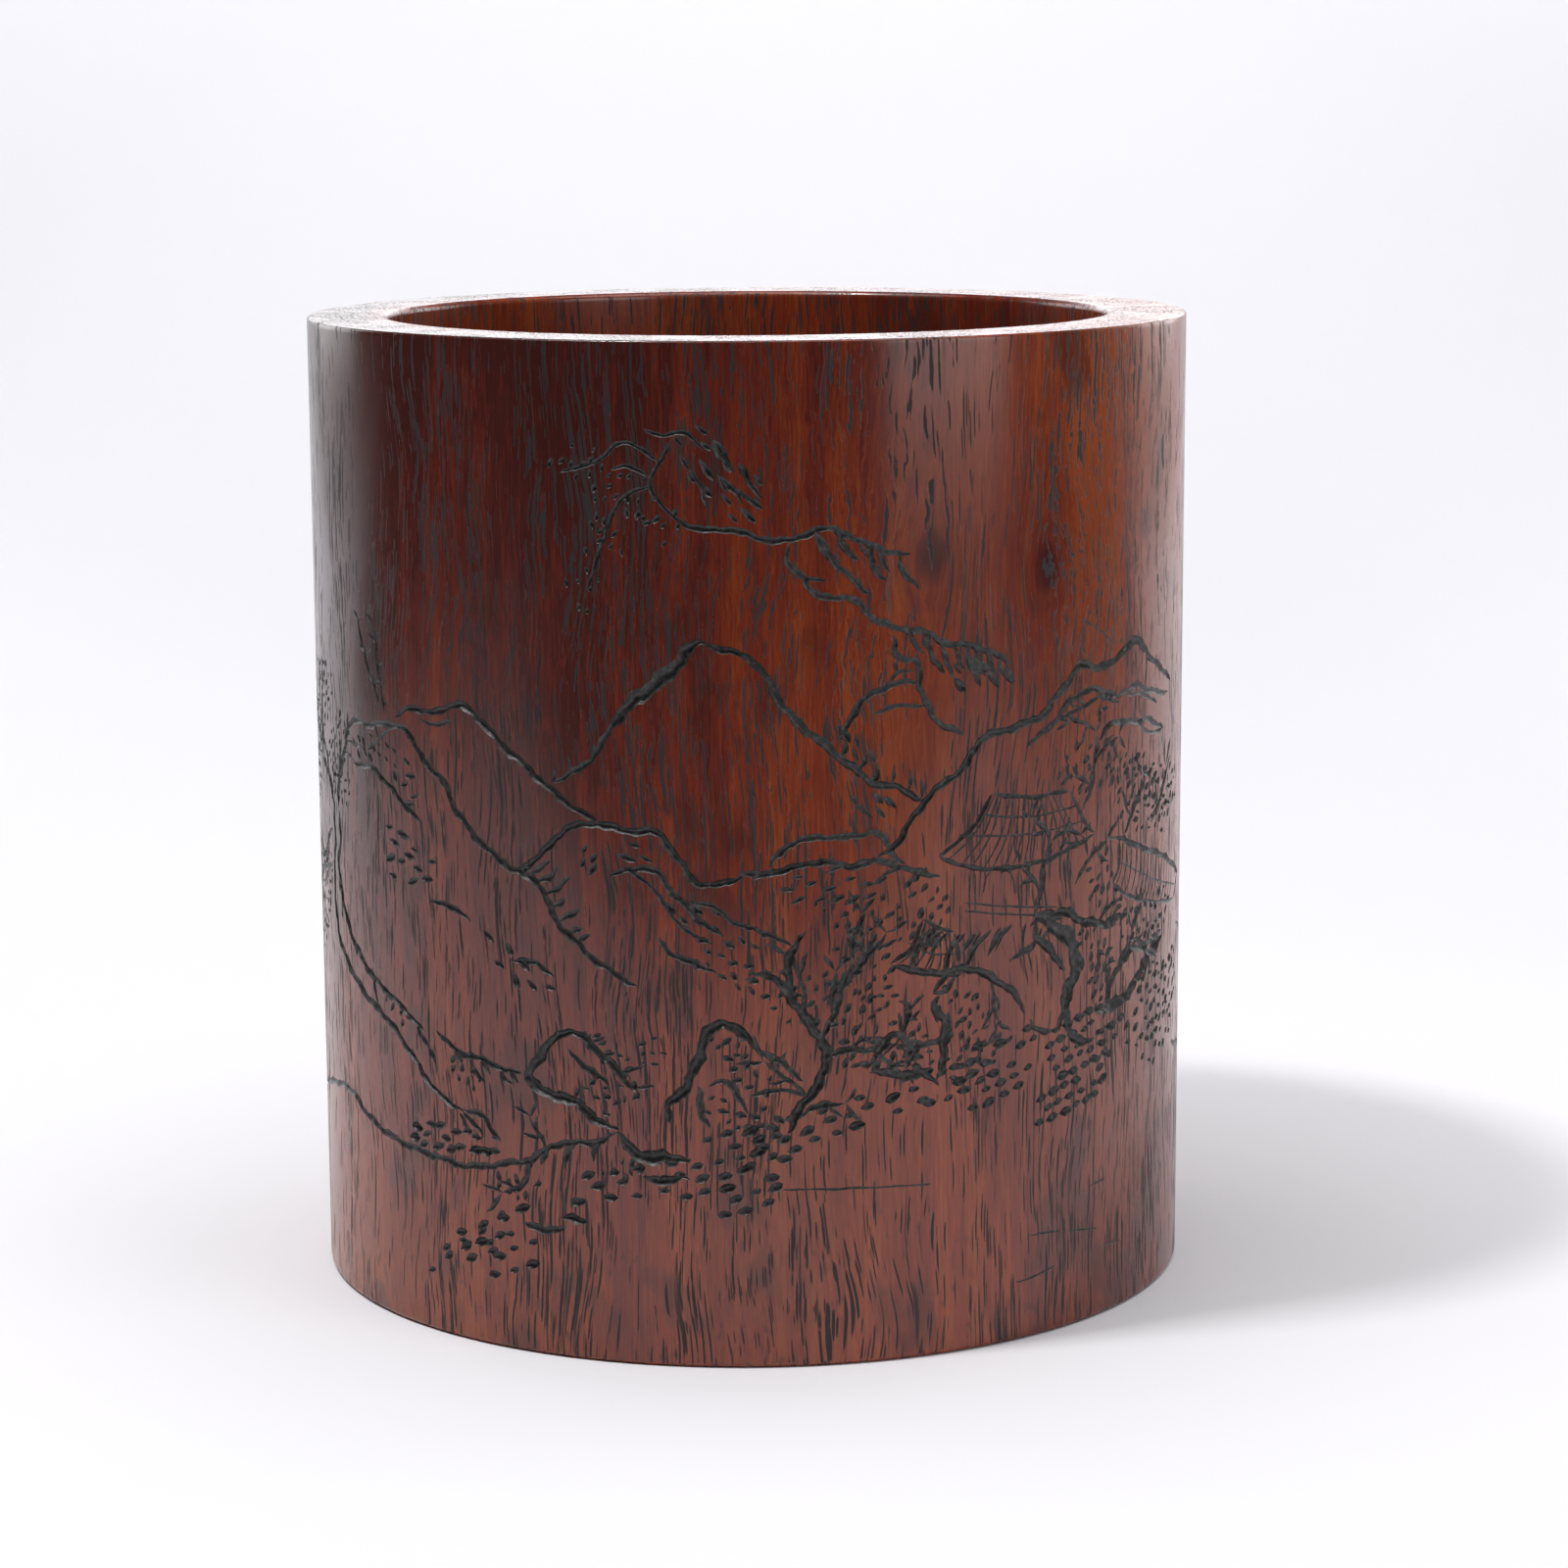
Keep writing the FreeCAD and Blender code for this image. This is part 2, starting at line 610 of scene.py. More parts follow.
@dataclass
class Stroke:
    """One cut: the line that the blade followed, and its half width and depth along it."""

    line: np.ndarray
    half: np.ndarray
    deep: np.ndarray

    def edges(self) -> list[np.ndarray]:
        """The cut's two edges."""
        side = self._side()
        return [self.line + side, self.line - side]

    def bed(self) -> list[np.ndarray]:
        """The lines along the cut's bed: its middle, and a row each side where it is wide."""
        rows = [self.line]
        if self.half.max() > Cut.LINE.value.half * 1.5:
            side = self._side() * BED_ROW
            rows += [(self.line + side)[1:-1], (self.line - side)[1:-1]]
        return [row for row in rows if len(row) > 1]

    def press(self, spots: Spots, depth: np.ndarray, free: np.ndarray | None = None) -> None:
        """Deepen the spots that lie in this cut.

        Args:
            spots: Places on the flat sheet.
            depth: Their depths so far, which this raises.
            free: Which of them may move. A cut's own edges stay where they are.
        """
        near = self._near(spots, 0.0)
        if free is not None:
            near = near[free[near]]
        if not len(near):
            return
        start, run = self.line[:-1], np.diff(self.line, axis=0)
        length = np.maximum((run**2).sum(axis=1), 1e-12)
        offset = spots.places[near][:, None, :] - start[None]
        along = np.clip((offset * run).sum(axis=2) / length, 0.0, 1.0)
        gap = np.linalg.norm(offset - along[..., None] * run, axis=2)
        half = self.half[:-1] + along * np.diff(self.half)
        deep = self.deep[:-1] + along * np.diff(self.deep)
        across = np.minimum(gap / np.maximum(half, 1e-6), 1.0)
        cut = (deep * (1.0 - across**1.8)).max(axis=1)
        depth[near] = np.maximum(depth[near], cut)

    def crowds(self, spots: Spots, margin: float) -> np.ndarray:
        """Find the spots that lie in this cut or within a margin of it."""
        near = self._near(spots, margin)
        gap = np.linalg.norm(spots.places[near][:, None, :] - self.line[None], axis=2)
        return near[(gap < self.half[None] + margin).any(axis=1)]

    def _side(self) -> np.ndarray:
        """The way from each point of the line to the cut's edge."""
        return leftward(self.line) * self.half[:, None]

    def _near(self, spots: Spots, margin: float) -> np.ndarray:
        """Find the spots in the box that just holds this cut and a margin."""
        reach = self.half.max() + margin
        return spots.within(self.line.min(axis=0) - reach, self.line.max(axis=0) + reach)


class Carver:
    """The hand that cuts: it turns a few points into strokes, each a little uneven."""

    def __init__(self, seed: int) -> None:
        """Start with a clean side."""
        self.strokes: list[Stroke] = []
        self.hand = random.Random(seed)

    def line(self, points: Sequence[Point], cut: Cut = Cut.LINE, swell: float = 0.0) -> np.ndarray:
        """Cut a line.

        Args:
            points: A few points that it passes through.
            cut: The kind of cut.
            swell: How much wider its middle is than the cut's own width, as a share.

        Returns:
            The line as cut.
        """
        gouge = cut.value
        path = smooth_path(points, STEP_MM)
        run = np.concatenate([[0.0], np.cumsum(np.linalg.norm(np.diff(path, axis=0), axis=1))])
        total = max(run[-1], 1e-6)
        phase = [self.hand.uniform(0.0, FULL_TURN) for _ in range(4)]
        shake = np.sin(run * 0.9 + phase[0]) + 0.6 * np.sin(run * 2.3 + phase[1])
        path = path + leftward(path) * (shake * gouge.wobble)[:, None]
        taper = min(gouge.taper, total * 0.45)
        ends = np.clip(np.minimum(run, total - run) / taper, 0.0, 1.0) ** 0.6
        body = 1.0 + swell * np.sin(math.pi * run / total) ** 2
        press = 1.0 + 0.16 * np.sin(run * 1.1 + phase[2]) + 0.1 * np.sin(run * 2.9 + phase[3])
        half = gouge.half * ends * body * press
        self.strokes.append(Stroke(path, half, gouge.deep * ends * press))
        return path

    def lines(self, cut: Cut, *paths: Sequence[Point]) -> None:
        """Cut several lines, each with the same kind of cut."""
        for path in paths:
            self.line(path, cut)

    def seed(self, spot: Point, heading: float, length: float, half: float) -> None:
        """Cut one seed-shaped dot.

        Args:
            spot: Its middle.
            heading: The way it points, in degrees.
            length: Its length.
            half: Half its width.
        """
        way = ray(math.radians(heading))
        part = np.linspace(0.0, 1.0, 7)
        lean = self.hand.uniform(0.75, 1.3)
        shape = np.sin(math.pi * part**lean) ** 0.7
        shape[[0, -1]] = 0.0
        line = np.array(spot) + np.outer(part - 0.5, way) * length
        self.strokes.append(Stroke(line, half * shape, half * 1.05 * shape))

    def hang(
        self,
        edge: np.ndarray,
        start: float,
        end: float,
        count: int,
        heading: float,
        length: float,
        cut: Cut = Cut.LINE,
    ) -> None:
        """Cut a row of strokes that start on a line.

        Args:
            edge: The line that they hang from.
            start: Where on it the first one is, as a share of its length.
            end: Where the last one is.
            count: How many there are.
            heading: The way they point, in degrees.
            length: Their mean length.
            cut: The kind of cut.
        """
        for index in range(count):
            part = start + (end - start) * (index + self.hand.uniform(-0.25, 0.25)) / max(1, count - 1)
            root = edge[int(min(max(part, 0.0), 1.0) * (len(edge) - 1))]
            way = math.radians(heading + self.hand.uniform(-9.0, 9.0))
            reach = length * self.hand.uniform(0.6, 1.3)
            bend = math.radians(self.hand.uniform(4.0, 16.0))
            middle = root + 0.5 * reach * ray(way - bend)
            tip = root + reach * ray(way)
            self.line([tuple(root), tuple(middle), tuple(tip)], cut)

    def scatter(
        self,
        path: Sequence[Point],
        spread: float,
        count: int,
        heading: float = 0.0,
        size: float = 1.9,
        turn: float = 35.0,
        gap: float = 0.9,
        fat: float = 0.25,
    ) -> None:
        """Scatter seed-shaped dots about a line.

        Args:
            path: The line that they crowd about.
            spread: How far from it they go.
            count: How many there are, where there is room.
            heading: The way they point, in degrees.
            size: Their mean length.
            turn: How far from the heading they may turn.
            gap: The clear distance between them, as a share of their size.
            fat: Half their width, as a share of their length.
        """
        line = smooth_path(path, 1.0)
        taken: list[np.ndarray] = []
        for _ in range(count * 12):
            if len(taken) == count:
                break
            spot = line[self.hand.randrange(len(line))]
            way = self.hand.uniform(0.0, FULL_TURN)
            out = spread * math.sqrt(self.hand.random())
            spot = spot + out * ray(way)
            if any(np.linalg.norm(spot - other) < size * gap for other in taken):
                continue
            taken.append(spot)
            long = size * self.hand.uniform(0.7, 1.35)
            angle = heading + self.hand.uniform(-turn, turn)
            self.seed(tuple(spot), angle, long, long * fat * self.hand.uniform(0.8, 1.25))

    def pebbles(self, corner: Point, across: Point, up: Point, rows: int, columns: int) -> None:
        """Cut rows of pebbles, set out like a paved bank.

        Args:
            corner: The first pebble's place.
            across: The step from one pebble to the next in a row.
            up: The step from one row to the next.
            rows: How many rows there are.
            columns: How many pebbles each row holds.
        """
        for row in range(rows):
            for column in range(columns):
                part = column + 0.5 * (row % 2)
                x = corner[0] + across[0] * part + up[0] * row + self.hand.uniform(-0.5, 0.5)
                y = corner[1] + across[1] * part + up[1] * row + self.hand.uniform(-0.3, 0.3)
                if self.hand.random() < 0.12:
                    continue
                slope = math.degrees(math.atan2(across[1], across[0]))
                long = self.hand.uniform(1.9, 3.1)
                self.seed((x, y), slope + self.hand.uniform(-14.0, 14.0), long, long * 0.27)

    def grow(self, root: Point, heading: float, length: float, cuts: Sequence[Cut]) -> None:
        """Cut a branch, and smaller ones that fork from it.

        Args:
            root: Where it starts.
            heading: The way it starts out, in degrees.
            length: Its length.
            cuts: The kind of cut for it, and then for each finer branch.
        """
        points = [np.array(root, float)]
        way = heading
        for _ in range(3):
            way += self.hand.uniform(-26.0, 26.0)
            points.append(points[-1] + ray(math.radians(way)) * length / 3.0)
        self.line([tuple(point) for point in points], cuts[0])
        if len(cuts) == 1:
            return
        for index, side in ((1, 1.0), (2, -1.0), (3, 1.0), (3, -1.0)):
            turn = side * self.hand.uniform(24.0, 52.0)
            reach = length * self.hand.uniform(0.4, 0.62)
            self.grow(tuple(points[index]), way + turn, reach, cuts[1:])


class Landscape:
    """The picture round the side. Arcs run to the right from the pot's front, heights up."""

    def __init__(self, seed: int) -> None:
        """Take up the blade."""
        self.carver = Carver(seed)

    def cut(self) -> list[Stroke]:
        """Cut the whole picture.

        Returns:
            Every stroke of it.
        """
        self.pine_and_overhang()
        self.middle_peak()
        self.left_ridges()
        self.low_hills()
        self.right_peaks()
        self.pavilion()
        self.crooked_tree()
        self.middle_trees()
        self.rocks()
        self.banks_and_path()
        self.left_tree()
        self.paving()
        self.far_side()
        self.scuffs()
        return self.carver.strokes

    def pine_and_overhang(self) -> None:
        """A pine that leans from the top of an overhanging cliff."""
        c = self.carver
        c.lines(
            Cut.FINE,
            [(-9.5, 136.5), (-12.5, 139.5), (-14.0, 143.0), (-11.5, 147.0), (-10.5, 149.5)],
            [(-13.5, 142.0), (-18.0, 140.5), (-20.5, 136.5), (-22.5, 131.0), (-24.5, 125.5)],
            [(-12.5, 145.5), (-15.5, 148.0), (-19.0, 148.5), (-23.0, 145.5), (-29.0, 144.0)],
            [(-15.0, 151.0), (-12.0, 149.8), (-8.5, 150.5), (-5.5, 147.5)],
            [(-14.0, 143.2), (-17.5, 145.2), (-20.5, 144.2)],
            [(-8.0, 145.0), (-6.0, 142.0), (-5.0, 138.5)],
        )
        needles = [(-7.0, 148.5), (-3.0, 144.5), (0.0, 140.5)]
        c.scatter(needles, 4.4, 17, -50.0, 3.1, 14.0, 0.66, 0.16)
        for x, y in ((-2.6, 146.4), (-1.4, 141.8), (1.6, 142.6)):
            c.line([(x - 1.8, y + 2.3), (x, y), (x + 2.2, y - 2.4)], Cut.LINE)
        for path, *how in (
            ([(-27.0, 146.0), (-20.0, 143.0), (-17.0, 139.0)], 4.6, 22, 65.0, 1.5),
            ([(-20.0, 136.0), (-22.5, 131.0), (-25.0, 125.0)], 3.6, 17, 80.0, 1.4),
            ([(-14.5, 139.5), (-12.0, 136.0)], 3.0, 9, 50.0, 1.5),
        ):
            c.scatter(path, *how)
        top = c.line(
            [(-10.0, 137.5), (-7.0, 135.4), (-2.0, 135.4), (3.5, 133.9), (8.0, 133.6), (12.5, 135.3),
             (17.0, 134.2), (21.0, 132.2), (27.2, 130.6)],
        )
        c.hang(top, 0.6, 0.95, 7, -62.0, 6.0)
        c.line([(12.0, 134.8), (14.5, 130.5), (18.5, 126.4), (20.8, 124.8)])
        brow = c.line(
            [(7.6, 133.2), (7.2, 130.4), (9.8, 128.0), (11.0, 125.4), (14.6, 124.6), (18.6, 123.6),
             (21.4, 120.6), (25.6, 119.2), (30.0, 118.2), (34.0, 116.2), (38.6, 115.6), (45.6, 112.4)],
        )
        c.line([(9.6, 127.8), (13.6, 127.0)], Cut.FINE)
        c.hang(brow, 0.58, 0.98, 10, -60.0, 5.4)
        c.scatter([(33.0, 112.6), (40.0, 110.4)], 2.2, 7, -60.0, 2.8, 14.0, 0.8, 0.18)
        face = c.line(
            [(24.2, 118.4), (25.0, 115.0), (28.2, 113.6), (29.0, 109.6), (31.4, 104.6), (36.8, 101.4)],
        )
        c.hang(face, 0.05, 0.2, 2, -75.0, 3.0, Cut.FINE)
        c.line([(28.6, 110.6), (24.0, 110.4), (19.8, 108.4), (17.0, 105.0), (15.6, 101.6)])
        c.lines(
            Cut.FINE,
            [(28.0, 112.4), (25.2, 112.2), (23.4, 110.6)],
            [(29.8, 106.6), (25.4, 107.0), (20.8, 105.8)],
        )

    def middle_peak(self) -> None:
        """The tall peak in the middle, with moss on its shoulders."""
        c = self.carver
        left = c.line([(-31.0, 94.6), (-26.0, 97.2), (-22.4, 101.0), (-20.0, 105.4), (-15.4, 109.4)])
        c.line(
            [(-21.0, 103.6), (-16.6, 108.6), (-11.4, 112.6), (-8.2, 116.6), (-5.0, 117.8)],
            Cut.BOLD, 0.55,
        )
        right = c.line(
            [(-6.0, 117.9), (-3.0, 116.6), (1.6, 115.0), (4.6, 111.0), (7.2, 106.6), (12.0, 102.2),
             (16.8, 98.2), (20.8, 95.0), (25.2, 93.8), (30.0, 91.2)],
            Cut.LINE, 0.3,
        )
        c.hang(left, 0.02, 0.35, 3, 76.0, 2.6, Cut.FINE)
        c.hang(right, 0.62, 0.78, 3, 62.0, 3.6)
        c.hang(right, 0.86, 0.98, 3, 86.0, 3.0, Cut.FINE)
        c.scatter([(17.4, 101.6), (21.0, 98.6)], 2.0, 5, -70.0, 3.0, 12.0, 0.7, 0.18)
        c.scatter([(18.0, 92.8), (23.0, 90.6)], 2.0, 5, -48.0, 3.0, 12.0, 0.7, 0.18)

    def left_ridges(self) -> None:
        """Two ridges that come down from the left, with strokes of moss between them."""
        c = self.carver
        c.line(
            [(-64.5, 102.2), (-60.0, 104.0), (-54.6, 103.8), (-50.0, 105.6), (-46.0, 104.6), (-41.6, 101.0),
             (-36.4, 97.2), (-31.6, 93.6), (-27.0, 90.6), (-22.8, 88.4)],
            Cut.LINE, 0.25,
        )
        c.line([(-57.8, 102.2), (-54.0, 102.0), (-50.4, 103.0)], Cut.FINE)
        near = c.line(
            [(-82.6, 95.6), (-79.6, 99.4), (-72.6, 99.8), (-66.0, 100.6), (-60.8, 99.6), (-57.0, 95.4),
             (-53.0, 93.2), (-50.0, 88.6), (-46.2, 84.8), (-41.0, 81.2), (-37.0, 79.4), (-33.2, 77.4),
             (-31.0, 72.8), (-26.8, 68.6), (-21.6, 64.8), (-16.8, 62.4)],
            Cut.LINE, 0.2,
        )
        c.hang(near, 0.66, 0.86, 8, 28.0, 4.6)
        c.line([(-79.0, 92.2), (-73.6, 92.8), (-68.2, 91.2), (-63.0, 88.0), (-58.0, 85.2)])
        c.scatter([(-76.0, 95.6), (-70.0, 96.4), (-64.0, 94.4)], 2.6, 17, -48.0, 1.9, 18.0, 0.85, 0.19)
        c.scatter([(-61.4, 91.6), (-60.4, 88.8)], 1.4, 4, 5.0, 2.4, 20.0, 0.9, 0.2)
        c.line([(-73.2, 95.4), (-69.0, 98.2), (-66.2, 99.6)], Cut.FINE)
        c.scatter([(-67.0, 83.4), (-60.6, 81.0)], 1.8, 5, -8.0, 3.2, 16.0, 0.8, 0.17)
        c.scatter([(-64.4, 77.4), (-57.0, 77.6)], 2.6, 8, 8.0, 2.5, 24.0, 1.0, 0.2)
        c.lines(
            Cut.LINE,
            [(-56.6, 72.4), (-52.0, 72.6), (-47.2, 70.4)],
            [(-39.4, 65.2), (-35.0, 65.0), (-31.0, 63.2)],
        )
        for path, *how in (
            ([(-42.6, 66.6), (-37.0, 63.0), (-32.6, 61.4)], 2.2, 7, -30.0, 2.5, 40.0, 1.0, 0.2),
            ([(-26.0, 83.4), (-23.0, 81.0)], 1.6, 4, 62.0, 2.2, 18.0, 0.9, 0.2),
            ([(-18.4, 84.4), (-16.4, 83.4)], 1.6, 3, -14.0, 2.8, 12.0, 0.8, 0.18),
        ):
            c.scatter(path, *how)
        for root, lean in (((-76.0, 117.6), 7.0), ((-70.2, 116.4), 2.6)):
            tip = (root[0] + lean, root[1] - 14.0)
            stem = c.line([root, (root[0] + lean * 0.3, root[1] - 6.0), tip], Cut.FINE)
            c.hang(stem, 0.05, 0.7, 3, 140.0, 2.6, Cut.FINE)
            c.hang(stem, 0.2, 0.85, 3, 40.0, 2.4, Cut.FINE)

    def low_hills(self) -> None:
        """Low hills in front of the peak, each line running off behind the next."""
        c = self.carver
        c.line(
            [(-37.6, 80.2), (-33.4, 82.6), (-30.0, 86.2), (-25.0, 88.4), (-19.0, 87.6), (-13.4, 87.2),
             (-10.4, 83.6), (-7.6, 79.8), (-3.6, 79.2), (0.6, 81.0)],
            Cut.LINE, 0.25,
        )
        slope = c.line(
            [(-0.6, 80.8), (6.0, 81.2), (11.4, 82.6), (17.6, 81.8), (22.6, 82.2), (28.0, 80.2),
             (32.6, 79.2)],
        )
        c.hang(slope, 0.2, 0.9, 7, 196.0, 4.4, Cut.FINE)
        c.lines(
            Cut.LINE,
            [(4.2, 81.8), (7.2, 85.4), (12.6, 86.6), (18.2, 86.4), (21.4, 87.2), (24.2, 83.4),
             (26.4, 81.6)],
            [(-21.4, 79.8), (-17.4, 81.6), (-13.4, 80.8), (-10.4, 77.0), (-6.6, 73.4), (-3.0, 70.6)],
        )
        c.lines(
            Cut.FINE,
            [(-19.4, 81.6), (-15.2, 79.4), (-12.2, 75.6), (-9.0, 71.8), (-4.6, 69.6)],
            [(-8.8, 76.6), (-4.0, 75.4), (-1.2, 73.0), (3.4, 71.6), (8.2, 69.0)],
        )
        c.line([(-13.6, 70.6), (-11.0, 67.8), (-7.6, 66.4), (-4.0, 65.2)])
        for path, *how in (
            ([(-10.0, 75.0), (-3.0, 72.0), (2.0, 69.6)], 2.2, 12, -40.0, 2.2, 22.0, 0.9, 0.2),
            ([(8.0, 78.6), (15.0, 78.0), (21.0, 78.4)], 2.0, 12, 14.0, 2.5, 20.0, 0.8, 0.17),
            ([(-8.0, 68.0), (-2.0, 64.4), (4.0, 62.0)], 3.0, 14, -30.0, 1.6, 40.0),
        ):
            c.scatter(path, *how)

    def right_peaks(self) -> None:
        """The range on the right, each peak with lower lines that echo it."""
        c = self.carver
        c.line(
            [(21.6, 82.6), (25.4, 85.6), (28.4, 90.0), (33.0, 94.2), (36.6, 96.2), (39.6, 100.4),
             (45.4, 101.8), (51.8, 103.2), (57.2, 107.6), (61.6, 110.6), (66.2, 109.4), (71.6, 110.8),
             (77.6, 112.8), (83.0, 109.2), (88.6, 106.6), (94.6, 103.6)],
            Cut.LINE, 0.3,
        )
        c.line([(72.4, 110.9), (77.0, 112.7), (81.2, 110.3)], Cut.BOLD)
        c.line([(48.6, 98.6), (54.0, 101.4), (59.4, 105.4), (65.8, 106.0), (71.4, 103.8)])
        c.line([(55.6, 102.0), (61.0, 103.4), (66.4, 104.6), (71.8, 103.0)], Cut.FINE)
        c.line([(70.4, 103.8), (77.0, 105.2), (83.0, 103.6), (92.4, 101.8)])
        c.line([(74.4, 104.0), (80.0, 103.4), (86.6, 101.0)], Cut.FINE)
        c.line([(65.8, 97.6), (70.2, 100.0), (76.2, 99.2), (82.4, 98.8), (90.0, 96.2)])
        c.line([(79.0, 98.2), (84.4, 96.2), (89.4, 96.4)], Cut.FINE)
        c.hang(smooth_path([(58.0, 105.0), (66.0, 105.6)], 1.0), 0.1, 0.9, 3, -30.0, 3.0, Cut.FINE)

    def roof(self, eave: Sequence[Point], ridge: Sequence[Point], rafters: int, hips: int) -> None:
        """Cut a swept roof.

        Args:
            eave: The lower edge's points, from left to right.
            ridge: The upper edge's points, from left to right.
            rafters: How many fine lines run down it.
            hips: How many fine lines run across it.
        """
        c = self.carver
        low = c.line(eave, Cut.FINE)
        high = c.line(ridge, Cut.FINE)
        for end, out in ((0, 0.8), (-1, 0.0)):
            middle = (high[end] + low[end]) * 0.5 + np.array([out, -1.0])
            c.line([tuple(high[end]), tuple(middle), tuple(low[end])], Cut.FINE)
        for index in range(rafters):
            part = (index + 0.5) / rafters
            top = high[int(part * 0.8 * (len(high) - 1))]
            foot = low[int(part * 0.9 * (len(low) - 1))]
            middle = (top + foot) * 0.5 + np.array([0.7, -0.8])
            c.line([tuple(top), tuple(middle), tuple(foot)], Cut.SCRIBED)
        for index in range(hips):
            part = (index + 1.0) / (hips + 1.0)
            start = high[0] + (low[0] - high[0]) * part
            end = high[-1] + (low[-1] - high[-1]) * part
            middle = (start + end) * 0.5 - np.array([0.0, 1.0])
            c.line([tuple(start), tuple(middle), tuple(end)], Cut.SCRIBED)

    def pavilion(self) -> None:
        """A pavilion among the trees, with a lower roof in front and another beyond."""
        c = self.carver
        self.roof(
            [(32.0, 82.4), (38.0, 80.0), (46.0, 79.2), (54.6, 79.8), (65.0, 82.2)],
            [(42.0, 91.6), (50.0, 90.2), (58.6, 90.4)],
            15,
            2,
        )
        for x, low, high in ((37.6, 72.4, 79.2), (47.8, 71.6, 78.4), (57.6, 72.0, 79.0)):
            c.line([(x, high), (x + 0.2, low)], Cut.SCRIBED)
            c.line([(x + 1.1, high), (x + 1.2, low)], Cut.SCRIBED)
        c.line([(40.2, 75.4), (41.0, 78.4), (43.6, 79.4), (46.0, 77.8), (46.4, 74.6)], Cut.SCRIBED)
        for rise in (0.0, 1.3):
            c.line([(36.6, 74.4 - rise), (46.0, 72.8 - rise), (56.0, 71.4 - rise)], Cut.SCRIBED)
        self.roof(
            [(70.4, 73.0), (77.0, 69.6), (87.0, 67.0), (98.0, 65.4)],
            [(72.4, 80.4), (81.0, 77.2), (91.0, 74.2), (103.0, 69.6)],
            17,
            1,
        )
        c.line([(72.0, 80.6), (80.0, 77.6), (90.0, 74.6), (104.0, 69.0)])
        c.line([(94.8, 80.4), (95.0, 73.4)], Cut.FINE)
        self.roof(
            [(23.6, 65.4), (30.0, 63.4), (36.4, 62.8)],
            [(29.4, 72.4), (32.0, 70.8), (35.0, 70.0)],
            9,
            1,
        )
        fan = smooth_path([(31.0, 71.0), (38.0, 69.4), (46.0, 70.0)], 1.0)
        c.hang(fan, 0.0, 1.0, 12, 236.0, 6.4, Cut.FINE)
        c.line([(24.0, 65.2), (31.0, 63.6), (36.0, 62.8)])
        c.scatter([(29.0, 78.0), (31.6, 73.6), (28.0, 68.0)], 3.2, 20, 55.0, 1.7, 30.0)

    def crooked_tree(self) -> None:
        """The thick, crooked tree on the right, and the bushes about it."""
        c = self.carver
        c.line(
            [(49.6, 69.4), (53.2, 69.8), (56.6, 67.0), (59.6, 64.8), (60.2, 60.6), (58.4, 56.6),
             (56.0, 50.6)],
            Cut.BROAD, 0.25,
        )
        c.lines(
            Cut.BOLD,
            [(51.0, 70.2), (51.4, 66.8), (55.2, 63.6), (57.6, 60.4)],
            [(57.4, 56.0), (58.8, 50.6), (62.6, 47.6), (65.4, 48.4)],
            [(50.2, 70.4), (57.0, 70.4), (63.0, 67.8), (69.0, 66.8), (75.4, 67.4)],
        )
        c.line([(66.0, 67.6), (69.4, 69.4), (73.6, 70.4)], Cut.FINE)
        c.line([(55.4, 50.6), (51.6, 51.8), (49.4, 53.6)])
        c.grow((50.4, 70.2), 46.0, 13.0, [Cut.LINE, Cut.FINE, Cut.FINE])
        c.grow((45.4, 63.6), 24.0, 9.0, [Cut.LINE, Cut.FINE])
        c.line([(30.8, 60.4), (35.6, 63.8), (40.8, 62.2), (45.8, 59.0), (49.0, 54.8)], Cut.LINE, 0.3)
        c.grow((41.6, 61.8), -52.0, 8.0, [Cut.FINE, Cut.FINE])
        c.line(
            [(66.0, 52.8), (71.0, 52.4), (76.4, 54.0), (82.0, 57.6), (86.4, 59.6), (91.0, 60.6)],
            Cut.BROAD, -0.2,
        )
        c.line([(71.0, 57.4), (76.0, 60.6), (82.0, 60.4), (90.0, 62.0)])
        for root, *how in (
            ((68.0, 50.6), 62.0, 15.0, [Cut.BOLD, Cut.LINE, Cut.FINE]),
            ((62.0, 86.6), 38.0, 13.0, [Cut.LINE, Cut.FINE, Cut.FINE]),
            ((74.0, 80.6), 66.0, 11.0, [Cut.LINE, Cut.FINE]),
            ((83.6, 81.0), 52.0, 12.0, [Cut.LINE, Cut.FINE]),
            ((60.0, 74.4), 30.0, 11.0, [Cut.FINE, Cut.FINE]),
        ):
            c.grow(root, *how)
        for path, *how in (
            ([(60.0, 93.4), (66.0, 94.0), (74.0, 91.0)], 4.2, 34, 60.0, 1.6, 40.0),
            ([(78.0, 90.0), (86.0, 86.4), (97.0, 86.0)], 4.0, 42, 30.0, 1.8, 50.0),
            ([(74.0, 85.4), (84.0, 82.0), (91.0, 80.4)], 3.0, 22, 20.0, 1.6, 50.0),
            ([(66.0, 77.0), (68.0, 72.0), (77.0, 64.0)], 3.4, 30, 50.0, 1.7, 50.0),
            ([(62.0, 64.4), (67.0, 61.4), (66.0, 56.6)], 3.4, 24, 60.0, 1.8, 40.0),
            ([(80.0, 67.0), (84.0, 64.0), (92.0, 66.4)], 3.4, 26, 30.0, 1.9, 50.0),
            ([(84.0, 54.0), (90.0, 50.0), (98.0, 53.0)], 5.0, 52, 24.0, 2.1, 40.0),
            ([(78.0, 47.6), (86.0, 43.6), (94.0, 45.4)], 4.0, 26, 10.0, 2.2, 30.0),
        ):
            c.scatter(path, *how)

